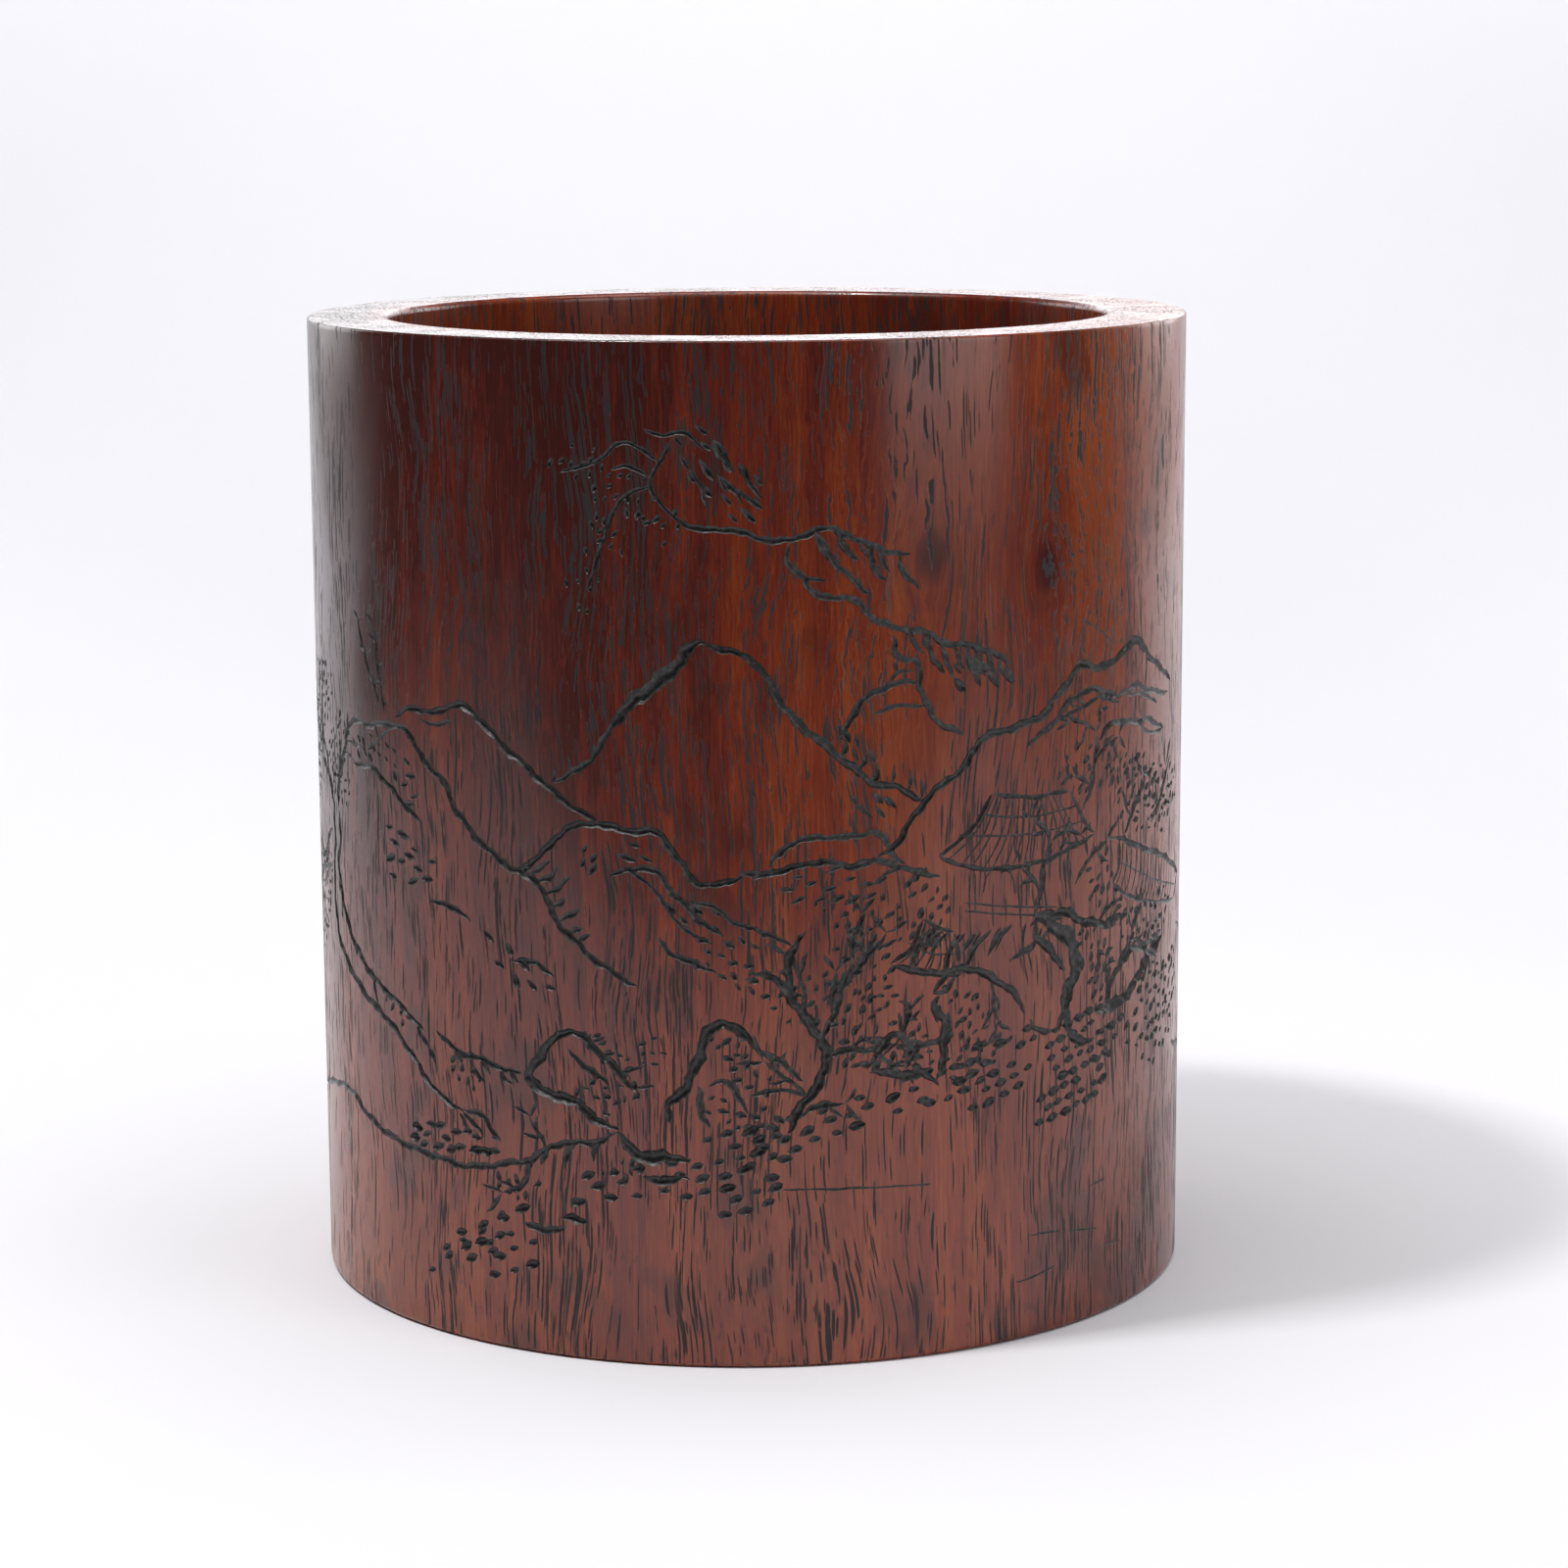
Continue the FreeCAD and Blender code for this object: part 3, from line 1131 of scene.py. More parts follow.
    def middle_trees(self) -> None:
        """The bushy trees in the middle foreground."""
        c = self.carver
        c.line(
            [(9.0, 70.6), (7.4, 66.6), (7.2, 62.6), (9.6, 57.8), (12.6, 53.6), (12.8, 48.4), (9.4, 43.4),
             (6.8, 38.6)],
            Cut.BOLD, 0.1,
        )
        c.line([(9.0, 58.6), (5.0, 63.8), (0.8, 65.4)])
        for root, *how in (
            ((12.4, 53.4), 62.0, 14.0, [Cut.LINE, Cut.LINE, Cut.FINE]),
            ((12.6, 51.0), 22.0, 12.0, [Cut.LINE, Cut.FINE, Cut.FINE]),
            ((9.6, 57.8), 96.0, 10.0, [Cut.FINE, Cut.FINE]),
            ((10.0, 45.0), 140.0, 9.0, [Cut.FINE, Cut.FINE]),
            ((8.6, 41.4), 30.0, 8.0, [Cut.LINE, Cut.FINE]),
        ):
            c.grow(root, *how)
        c.line([(1.0, 53.4), (5.6, 50.6), (9.6, 47.4)])
        c.line([(0.6, 44.8), (6.0, 46.0), (10.6, 44.4)], Cut.FINE)
        for path, *how in (
            ([(6.0, 62.0), (14.0, 60.0), (24.0, 58.4)], 4.6, 34, 40.0, 1.6, 50.0),
            ([(18.0, 68.6), (22.0, 65.4), (20.0, 61.0)], 3.4, 20, 50.0, 1.7, 40.0),
            ([(14.0, 74.6), (19.0, 72.4), (24.0, 74.6)], 2.8, 14, 50.0, 1.7, 40.0),
            ([(16.0, 52.6), (22.0, 50.6), (28.0, 55.0)], 3.6, 26, 30.0, 1.7, 50.0),
        ):
            c.scatter(path, *how)
        c.line(
            [(20.0, 48.4), (22.0, 51.8), (24.4, 54.0), (27.0, 52.6), (31.6, 52.0), (34.6, 54.6)],
            Cut.LINE, 0.2,
        )
        c.line([(20.2, 48.2), (24.6, 47.6), (29.4, 47.0), (32.4, 45.2)], Cut.BOLD)
        c.line([(32.6, 59.8), (31.4, 57.6), (33.6, 54.4), (33.0, 50.6), (32.2, 45.8)], Cut.BOLD, 0.15)
        c.line([(31.0, 60.2), (33.4, 60.6), (35.6, 63.0)], Cut.LINE)
        c.scatter([(34.0, 57.4), (38.0, 54.6), (42.0, 51.4)], 4.0, 34, 60.0, 1.5, 40.0)
        c.scatter([(27.0, 49.6), (31.0, 48.4), (36.0, 47.4)], 2.2, 12, 20.0, 1.6, 50.0)

    def rocks(self) -> None:
        """Rocks along the water's edge."""
        c = self.carver
        c.line(
            [(-30.0, 54.4), (-33.4, 50.6), (-36.0, 46.8), (-33.4, 43.8), (-29.0, 43.4), (-25.0, 40.8),
             (-20.4, 38.6)],
            Cut.BOLD, 0.2,
        )
        top = c.line(
            [(-33.0, 50.6), (-30.2, 54.0), (-26.8, 53.8), (-23.6, 51.4), (-20.4, 48.4), (-17.0, 45.0)],
            Cut.LINE, 0.3,
        )
        c.line([(-29.2, 51.4), (-26.0, 49.0), (-21.6, 45.8)])
        c.hang(top, 0.3, 0.95, 5, 12.0, 4.0, Cut.FINE)
        c.scatter([(-24.6, 52.6), (-19.0, 50.4), (-15.4, 51.6)], 2.8, 18, 30.0, 1.5, 60.0)
        c.scatter([(-26.6, 45.0), (-22.0, 43.6), (-18.0, 46.4)], 2.4, 14, 40.0, 1.6, 60.0)
        c.line(
            [(-12.0, 40.2), (-11.8, 43.6), (-9.4, 46.2), (-7.6, 49.8), (-6.0, 54.6), (-3.0, 57.0),
             (0.0, 54.8), (2.4, 52.6)],
            Cut.BOLD, 0.15,
        )
        c.line([(-7.4, 46.6), (-6.8, 43.0), (-5.6, 39.6)], Cut.BOLD)
        c.line([(-5.8, 46.8), (-2.8, 47.2), (-0.6, 44.8), (0.6, 42.0)], Cut.LINE)
        c.scatter([(-4.0, 52.0), (0.0, 50.0), (3.6, 48.0)], 2.8, 15, 40.0, 1.6, 60.0)
        c.scatter([(-4.0, 43.6), (-1.0, 41.0), (4.0, 41.4)], 2.4, 14, 20.0, 1.7, 60.0)
        c.line([(-20.6, 38.6), (-18.6, 35.8), (-14.6, 34.6), (-8.4, 34.8)], Cut.BROAD)

    def banks_and_path(self) -> None:
        """The water's edge in front, and a path that comes down from the left."""
        c = self.carver
        bank = c.line(
            [(-118.0, 28.0), (-104.0, 32.6), (-93.0, 35.0), (-83.4, 35.6), (-76.0, 32.8), (-67.0, 30.8),
             (-57.4, 30.0), (-48.6, 29.6), (-41.8, 31.0), (-36.4, 32.4), (-31.0, 35.6), (-25.0, 36.4),
             (-20.6, 38.4)],
            Cut.LINE, 0.1,
        )
        c.hang(bank, 0.84, 0.97, 4, -112.0, 4.0)
        c.grow((-35.6, 32.2), 238.0, 9.0, [Cut.LINE, Cut.FINE])
        c.grow((-33.0, 34.6), 110.0, 6.0, [Cut.FINE, Cut.FINE])
        c.line(
            [(-89.6, 84.4), (-89.2, 78.0), (-90.2, 70.4), (-88.6, 62.4), (-83.6, 57.8), (-76.4, 53.8),
             (-68.0, 50.4), (-61.4, 45.6), (-56.0, 41.0), (-49.6, 38.6)],
            Cut.LINE, 0.3,
        )
        c.line(
            [(-86.4, 83.6), (-86.0, 78.6), (-87.4, 74.0), (-84.6, 66.8), (-80.4, 61.8), (-73.6, 57.4),
             (-67.0, 54.8), (-61.8, 52.4), (-58.4, 50.2)],
            Cut.LINE, 0.3,
        )
        c.lines(
            Cut.LINE,
            [(-49.8, 38.8), (-47.0, 36.6), (-45.4, 34.8)],
            [(-50.6, 38.4), (-49.0, 36.0), (-48.2, 34.6)],
            [(-50.0, 39.0), (-46.0, 38.6), (-43.4, 36.2), (-41.6, 34.8)],
        )
        c.lines(
            Cut.FINE,
            [(-73.6, 59.2), (-73.0, 55.8), (-71.6, 52.4)],
            [(-80.6, 62.0), (-79.4, 59.6)],
        )
        c.scatter([(-87.8, 70.0), (-86.0, 63.6)], 1.2, 4, 90.0, 1.8, 20.0, 1.6)
        c.scatter([(-69.0, 53.6), (-63.0, 51.4)], 1.4, 6, 60.0, 1.6, 30.0, 1.2)
        branch = c.line([(-55.6, 51.4), (-51.4, 48.8), (-45.0, 47.8), (-39.6, 46.6), (-37.4, 46.8)])
        c.hang(branch, 0.25, 0.9, 5, -50.0, 4.6)
        c.hang(smooth_path([(-60.4, 51.6), (-56.0, 47.8)], 1.0), 0.0, 0.8, 3, -66.0, 4.2)
        c.scatter([(-53.0, 46.4), (-47.6, 44.6)], 1.8, 8, 70.0, 1.6, 30.0)
        c.scatter([(-60.0, 33.6), (-52.0, 33.4), (-44.0, 33.6)], 2.2, 24, 6.0, 2.5, 18.0, 0.8)

    def left_tree(self) -> None:
        """The twiggy tree at the left edge, with a cloud of leaves."""
        c = self.carver
        c.line([(-88.6, 83.0), (-91.4, 87.4), (-95.6, 90.4), (-101.0, 91.4)], Cut.BOLD)
        c.line([(-87.0, 83.8), (-86.2, 88.4), (-83.6, 92.4), (-81.6, 97.0)])
        for root, *how in (
            ((-92.0, 87.8), 118.0, 14.0, [Cut.LINE, Cut.FINE, Cut.FINE]),
            ((-95.6, 90.4), 160.0, 15.0, [Cut.LINE, Cut.FINE, Cut.FINE]),
            ((-90.6, 80.0), 198.0, 13.0, [Cut.LINE, Cut.FINE, Cut.FINE]),
            ((-90.8, 74.0), 216.0, 12.0, [Cut.LINE, Cut.FINE]),
            ((-86.2, 88.4), 60.0, 9.0, [Cut.FINE, Cut.FINE]),
        ):
            c.grow(root, *how)
        for path, *how in (
            ([(-84.0, 96.4), (-88.0, 91.6), (-84.4, 88.0)], 4.2, 46, 60.0, 1.4, 50.0),
            ([(-92.0, 104.0), (-98.0, 99.0), (-104.0, 96.0)], 4.6, 46, 30.0, 1.5, 60.0),
            ([(-94.0, 72.0), (-98.0, 66.4), (-103.0, 60.0)], 4.6, 40, 40.0, 1.6, 60.0),
            ([(-104.0, 88.0), (-110.0, 80.0)], 5.0, 34, 20.0, 1.7, 60.0),
        ):
            c.scatter(path, *how)

    def paving(self) -> None:
        """Banks of pebbles along the foreground."""
        c = self.carver
        c.pebbles((-57.4, 10.6), (4.4, 1.9), (1.5, 2.3), 4, 4)
        c.pebbles((-43.6, 12.0), (3.6, 1.6), (-1.2, 2.6), 4, 3)
        c.lines(
            Cut.BOLD,
            [(-38.0, 21.4), (-34.0, 21.2), (-29.6, 21.6)],
            [(-30.8, 23.2), (-28.0, 23.6), (-25.8, 23.2)],
        )
        c.pebbles((-27.0, 26.4), (4.6, 0.9), (0.6, 2.3), 3, 4)
        c.line([(-16.6, 31.2), (-13.0, 31.0), (-8.6, 31.4)], Cut.BOLD)
        for corner, *how in (
            ((-9.4, 28.6), (3.4, 0.8), (0.9, 2.3), 5, 5),
            ((-3.0, 25.4), (3.2, 1.0), (0.4, 2.2), 2, 3),
            ((1.0, 33.4), (3.4, 1.5), (0.6, 2.2), 3, 4),
            ((14.6, 38.4), (3.6, 1.1), (0.4, 2.4), 3, 5),
            ((30.6, 42.0), (3.0, 0.7), (0.5, 2.4), 4, 3),
            ((38.6, 40.4), (3.1, 0.9), (0.4, 2.3), 5, 4),
            ((52.0, 36.0), (2.8, 0.5), (0.3, 2.1), 8, 6),
            ((66.0, 44.0), (3.2, 0.6), (0.6, 2.4), 3, 3),
        ):
            c.pebbles(corner, *how)
        c.scatter([(-44.0, 26.6), (-38.0, 27.6), (-34.0, 31.0)], 2.6, 12, 70.0, 1.6, 50.0)
        c.scatter([(-22.0, 31.4), (-18.0, 33.0)], 2.0, 7, 70.0, 1.5, 40.0)

    def far_side(self) -> None:
        """The picture carries on round the back: water, far hills, a pine and reeds."""
        c = self.carver
        c.line([(102.0, 60.4), (112.0, 58.6), (124.0, 60.4), (137.0, 56.6), (150.0, 57.8), (166.0, 53.4)])
        c.line(
            [(98.0, 40.2), (112.0, 37.8), (128.0, 40.0), (146.0, 35.2), (168.0, 33.4), (190.0, 35.0),
             (214.0, 31.6)],
            Cut.LINE, 0.2,
        )
        c.line(
            [(-214.0, 31.0), (-196.0, 27.6), (-176.0, 30.2), (-154.0, 26.4), (-134.0, 29.6),
             (-119.0, 27.6)],
            Cut.LINE, 0.2,
        )
        hills = (
            ((108.0, 92.0), (116.0, 98.4), (124.0, 105.0), (131.0, 103.0), (140.0, 94.6), (150.0, 88.6),
             (162.0, 86.0)),
            ((140.0, 86.0), (150.0, 92.4), (158.0, 100.6), (166.0, 104.0), (174.0, 97.6), (186.0, 90.4),
             (200.0, 87.4)),
            ((-206.0, 84.0), (-194.0, 90.0), (-186.0, 97.6), (-178.0, 99.0), (-168.0, 91.4), (-156.0, 86.4),
             (-144.0, 84.6)),
            ((-166.0, 80.0), (-156.0, 88.4), (-148.0, 95.4), (-140.0, 100.6), (-132.0, 97.0), (-124.0, 90.6),
             (-113.0, 87.0)),
        )
        for hill in hills:
            ridge = c.line(hill, Cut.LINE, 0.35)
            c.hang(ridge, 0.45, 0.85, 6, -48.0, 4.2, Cut.FINE)
            drop = [(x + 5.0, y - 6.0 - 0.05 * abs(x) % 2.0) for x, y in hill[2:5]]
            c.line(drop, Cut.FINE)
        c.line([(176.0, 34.6), (178.6, 44.0), (176.4, 54.0), (181.0, 62.6), (180.0, 71.0)], Cut.BROAD, 0.1)
        for root, *how in (
            ((178.0, 46.0), 28.0, 17.0, [Cut.BOLD, Cut.LINE, Cut.FINE]),
            ((177.0, 56.0), 152.0, 17.0, [Cut.BOLD, Cut.LINE, Cut.FINE]),
            ((180.4, 66.0), 74.0, 15.0, [Cut.LINE, Cut.FINE, Cut.FINE]),
        ):
            c.grow(root, *how)
        c.scatter([(160.0, 62.0), (178.0, 77.0), (196.0, 62.0)], 8.0, 110, 40.0, 1.8, 60.0)
        c.scatter([(118.0, 46.0), (140.0, 45.0), (160.0, 43.0)], 4.0, 60, 10.0, 2.2, 30.0)
        c.pebbles((168.0, 26.0), (4.2, 0.5), (0.8, 2.5), 3, 8)
        c.line([(-150.0, 30.0), (-151.4, 38.0), (-149.0, 45.0)], Cut.BOLD)
        c.line([(-150.0, 30.0), (-144.0, 34.0), (-138.0, 33.6), (-134.0, 30.0)], Cut.BOLD, 0.2)
        c.line([(-149.0, 45.0), (-143.0, 47.4), (-138.6, 42.6), (-136.4, 33.0)], Cut.LINE, 0.2)
        c.scatter([(-146.0, 50.0), (-138.0, 50.4), (-130.0, 44.0)], 3.4, 34, 40.0, 1.6, 60.0)
        reeds = smooth_path([(-206.0, 31.0), (-196.0, 28.6), (-180.0, 30.2)], 1.0)
        c.hang(reeds, 0.0, 1.0, 16, 82.0, 10.0, Cut.FINE)
        c.pebbles((-190.0, 19.0), (4.4, 0.6), (0.9, 2.5), 3, 7)

    def scuffs(self) -> None:
        """Old scratches that use has left, most of them low down."""
        c = self.carver
        for x, y, run, rise in (
            (6.0, 29.6, 25.0, -0.8),
            (13.0, 29.2, 6.0, 0.3),
            (50.0, 17.4, 7.0, -0.5),
            (58.6, 16.4, 8.0, -1.2),
            (47.0, 9.8, 9.0, 1.4),
            (64.0, 23.0, 5.0, 0.4),
            (68.0, 12.0, 6.0, -0.6),
            (61.0, 118.0, 9.0, -5.0),
        ):
            c.line([(x, y), (x + run * 0.5, y + rise * 0.4), (x + run, y + rise)], Cut.SCRIBED)


# ------------------------------------------------------------------------ rules


class Rule:
    """A Geometry Nodes tree that shapes a mesh, with named inputs for its sizes."""

    def __init__(self, name: str) -> None:
        """Start a tree that has a geometry going in and one coming out."""
        self.tree = bpy.data.node_groups.new(name, "GeometryNodeTree")
        face = self.tree.interface
        face.new_socket("Geometry", in_out="INPUT", socket_type="NodeSocketGeometry")
        face.new_socket("Geometry", in_out="OUTPUT", socket_type="NodeSocketGeometry")
        self.sockets: dict[str, str] = {}
        self.bench = Bench(self.tree)

    def size(self, name: str, kind: str = "NodeSocketFloat") -> None:
        """Add a named input."""
        made = self.tree.interface.new_socket(name, in_out="INPUT", socket_type=kind)
        self.sockets[name] = made.identifier

    def start(self) -> dict[str, Wire]:
        """Place the inputs' node.

        Returns:
            Each input by its name.
        """
        first = self.bench.node("NodeGroupInput", output="Geometry")
        return {name: first.also(name) for name in ("Geometry", *self.sockets)}

    def finish(self, shape: Wire, dress: Sequence[tuple[Wire, Feed]]) -> None:
        """End the tree in Realize Instances and Set Material.

        Args:
            shape: The geometry.
            dress: Each finish, with the faces that it covers.
        """
        shape = self.bench.node("GeometryNodeRealizeInstances", None, {0: shape})
        for finish, faces in dress:
            sockets = {"Geometry": shape, "Material": finish, "Selection": faces}
            shape = self.bench.node("GeometryNodeSetMaterial", None, sockets)
        self.bench.node("NodeGroupOutput", None, {0: shape})

    def apply(self, shape: bpy.types.Mesh, sizes: dict[str, object]) -> bpy.types.Mesh:
        """Run the tree on a mesh, and keep the result as a plain mesh.

        Args:
            shape: What goes in.
            sizes: A value for each named input.

        Returns:
            The plain mesh.
        """
        carrier = bpy.data.objects.new("carrier", shape)
        bpy.context.scene.collection.objects.link(carrier)
        modifier = carrier.modifiers.new("rule", "NODES")
        modifier.node_group = self.tree
        for name, value in sizes.items():
            modifier[self.sockets[name]] = value
        graph = bpy.context.evaluated_depsgraph_get()
        made = bpy.data.meshes.new_from_object(carrier.evaluated_get(graph))
        carrier.modifiers.remove(modifier)
        bpy.data.objects.remove(carrier)
        if made.materials[0] is None:
            made.materials.pop(index=0)
        return made


def bending_rule() -> Rule:
    """Make the tree that bends the carved sheet round the pot and presses its cuts in.

    Returns:
        The tree. The sheet's X is the arc at the rim, and its Y the height.
    """
    rule = Rule("bend_round_pot")
    for name in ("Rim Radius", "Foot Radius", "Height"):
        rule.size(name)
    rule.size("Wood", "NodeSocketMaterial")
    rule.size("Cut Colour", "NodeSocketMaterial")
    ins = rule.start()
    bench = rule.bench
    arc, height, _ = bench.split(bench.node("GeometryNodeInputPosition"))
    settings = {"data_type": "FLOAT"}
    depth = bench.node("GeometryNodeInputNamedAttribute", settings, {"Name": "depth"}, "Attribute")
    angle = arc / ins["Rim Radius"]
    taper = (ins["Rim Radius"] - ins["Foot Radius"]) / ins["Height"]
    radius = ins["Foot Radius"] + taper * height - depth
    place = bench.round_axis(radius, angle, height)
    shape = bench.node("GeometryNodeSetPosition", None, {"Geometry": ins["Geometry"], "Position": place})
    settings = {"data_type": "BOOLEAN"}
    inside = bench.node("GeometryNodeInputNamedAttribute", settings, {"Name": "cut"}, "Attribute")
    rule.finish(shape, [(ins["Wood"], True), (ins["Cut Colour"], inside)])
    return rule


def turning_rule() -> Rule:
    """Make the tree that turns an outline about the pot's axis, as a lathe does.

    Returns:
        The tree. The outline's points are in order, with X as radius and Z as height.
    """
    rule = Rule("turn_on_lathe")
    rule.size("Segments", "NodeSocketInt")
    rule.size("Wood", "NodeSocketMaterial")
    ins = rule.start()
    bench = rule.bench
    count = bench.node("GeometryNodeAttributeDomainSize", None, {0: ins["Geometry"]}, "Point Count")
    sockets = {"Size X": 1.0, "Size Y": 1.0, "Vertices X": ins["Segments"] + 1.0, "Vertices Y": count}
    sheet = bench.node("GeometryNodeMeshGrid", None, sockets, "Mesh")
    x, y, _ = bench.split(bench.node("GeometryNodeInputPosition"))
    index = bench.math("ROUND", (y + 0.5) * (count - 1.0))
    settings = {"data_type": "FLOAT_VECTOR", "domain": "POINT"}
    where = bench.node("GeometryNodeInputPosition")
    sockets = {"Geometry": ins["Geometry"], "Value": where, "Index": index}
    point = bench.node("GeometryNodeSampleIndex", settings, sockets)
    radius, _, height = bench.split(point)
    angle = x * FULL_TURN
    place = bench.round_axis(radius, angle, height)
    shape = bench.node("GeometryNodeSetPosition", None, {"Geometry": sheet, "Position": place})
    rule.finish(shape, [(ins["Wood"], True)])
    return rule


# ----------------------------------------------------------------------- pieces


SEAM_M = 4e-6
ROW_SHARE = 0.866
FOOT_DRAW_MM = 0.25
DISC_BEVEL_MM = 0.3


def quarter(centre: Point, radius: float, start: float, steps: int = 5) -> list[Point]:
    """Points on a quarter circle that rounds an outline's corner.

    Args:
        centre: The circle's centre.
        radius: Its radius.
        start: The angle of its first point, in degrees. The rest go on anticlockwise.
        steps: How many pieces it has.

    Returns:
        The points, both ends included.
    """
    turns = [math.radians(start + 90.0 * step / steps) for step in range(steps + 1)]
    return [(centre[0] + radius * math.cos(t), centre[1] + radius * math.sin(t)) for t in turns]


def mesh_from_outline(name: str, outline: Sequence[Point]) -> bpy.types.Mesh:
    """Make a mesh of loose points from an outline of radius and height in millimetres."""
    made = bpy.data.meshes.new(name)
    made.from_pydata([(r * MM, 0.0, z * MM) for r, z in outline], [], [])
    return made


def tidy(shell: bmesh.types.BMesh) -> None:
    """Close a mesh's seams and poles, and turn its faces outwards."""
    rims = [vert for vert in shell.verts if vert.is_boundary]
    bmesh.ops.remove_doubles(shell, verts=rims, dist=SEAM_M)
    bmesh.ops.recalc_face_normals(shell, faces=shell.faces)


def piece_of(name: str, made: bpy.types.Mesh, node: str) -> bpy.types.Object:
    """Put a finished mesh in the scene as a piece of the pot.

    Args:
        name: The piece's name.
        made: Its mesh.
        node: The CAD node that it stands for.

    Returns:
        The piece.
    """
    made.name = name
    piece = bpy.data.objects.new(name, made)
    bpy.context.scene.collection.objects.link(piece)
    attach(piece, "root")
    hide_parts(node)
    return piece


@dataclass
class PotWall:
    """The side: a carved outside, a flat rim with softened edges, a bore and a foot."""

    radius: float
    foot_radius: float
    height: float
    bore: float
    rebate: float
    shoulder: float
    columns: int = 208
    rim_edge: float = 0.45
    mouth_edge: float = 1.1
    foot_edge: float = 1.0
    inner_foot_edge: float = 0.5
    margin: float = 0.4
    support: float = 0.35
    knots: tuple[Knot, ...] = (Knot(31.0, 130.5, 3.0), Knot(53.0, 127.0, 2.7), Knot(-146.0, 121.0, 3.4))

    def build(self, bend: Rule, turn: Rule) -> bpy.types.Object:
        """Make the side.

        Args:
            bend: The tree that bends the sheet.
            turn: The tree that turns the shell.

        Returns:
            The piece.
        """
        wood = Hardwood("waxed_hardwood", knots=self.knots, radius_mm=self.radius).material()
        fill = Charcoal("charcoal_in_cuts").material()
        strokes = Landscape(41).cut()
        log.info("landscape: %d strokes", len(strokes))
        sizes = {
            "Rim Radius": self.radius * MM,
            "Foot Radius": self.foot_radius * MM,
            "Height": self.height * MM,
            "Wood": wood,
            "Cut Colour": fill,
        }
        outside = bend.apply(self.carved_sheet(strokes), sizes)
        profile = mesh_from_outline("wall_outline", self.outline())
        shell = turn.apply(profile, {"Segments": self.columns, "Wood": wood})
        made = self.join(outside, shell, [wood, fill])
        return piece_of("pot_side", made, "pot_wall")

    def side_radius(self, height: float) -> float:
        """The outside radius at a height, in millimetres."""
        return self.foot_radius + (self.radius - self.foot_radius) * height / self.height

    def sheet_span(self) -> Point:
        """The lowest and highest height of the carved sheet."""
        return self.foot_edge + self.margin, self.height - self.rim_edge - self.margin

    def grid(self) -> tuple[float, float, int]:
        """Half the sheet's width, the space between its columns, and how many rows it has."""
        low, high = self.sheet_span()
        half = math.pi * self.radius
        step = 2.0 * half / self.columns
        return half, step, round((high - low) / (step * ROW_SHARE))

    def outline(self) -> list[Point]:
        """The shell's outline: from the sheet's top, over the rim, down the bore, to its foot."""
        low, high = self.sheet_span()
        top, near = self.height, self.support
        rim_corner = self.side_radius(top) - self.rim_edge
        mouth_corner = self.bore + self.mouth_edge
        foot_corner = self.side_radius(0.0) - self.foot_edge
        inner_corner = self.rebate + self.inner_foot_edge
        points = [(self.side_radius(high), high)]
        points += quarter((rim_corner, top - self.rim_edge), self.rim_edge, 0.0)
        points += [(rim_corner - near, top), (mouth_corner + near, top)]
        points += quarter((mouth_corner, top - self.mouth_edge), self.mouth_edge, 90.0, 7)
        first = top - self.mouth_edge - near
        rows = 14
        for row in range(rows + 1):
            points.append((self.bore, first + (self.shoulder + near - first) * row / rows))
        points += [(self.bore, self.shoulder), (self.bore + near, self.shoulder)]
        points += [(self.rebate - near, self.shoulder), (self.rebate, self.shoulder)]
        points += [(self.rebate, self.shoulder - near)]
        inner_foot = quarter((inner_corner, self.inner_foot_edge), self.inner_foot_edge, 180.0)
        points += [(self.rebate, self.inner_foot_edge + near), *inner_foot]
        points += [(inner_corner + near, 0.0), (foot_corner - near, 0.0)]
        points += quarter((foot_corner, self.foot_edge), self.foot_edge, 270.0)
        points += [(self.side_radius(low), low)]
        return points

    def lattice(self) -> tuple[list[Point], list[tuple[int, int]]]:
        """The flat sheet's border, which the shell must meet.

        Returns:
            The border's points, and the edges that join them.
        """
        low, high = self.sheet_span()
        half, step, rows = self.grid()
        border = [(-half + step * i, low) for i in range(self.columns)]
        border += [(half, low + (high - low) * j / rows) for j in range(rows)]
        border += [(half - step * i, high) for i in range(self.columns)]
        border += [(-half, high - (high - low) * j / rows) for j in range(rows)]
        edges = [(i, (i + 1) % len(border)) for i in range(len(border))]
        return border, edges

    def filling(self, strokes: Sequence[Stroke]) -> np.ndarray:
        """Evenly spread points inside the border, clear of every cut."""
        low, high = self.sheet_span()
        half, step, rows = self.grid()
        spots = []
        for j in range(1, rows):
            shift = 0.5 * (j % 2)
            for i in range(self.columns):
                x = -half + step * (i + shift)
                if x > -half + step * 0.4:
                    spots.append((x, low + (high - low) * j / rows))
        places = Spots(np.array(spots))
        clear = np.ones(len(spots), bool)
        for stroke in strokes:
            clear[stroke.crowds(places, CLEAR_OF_CUTS_MM)] = False
        return places.places[clear]

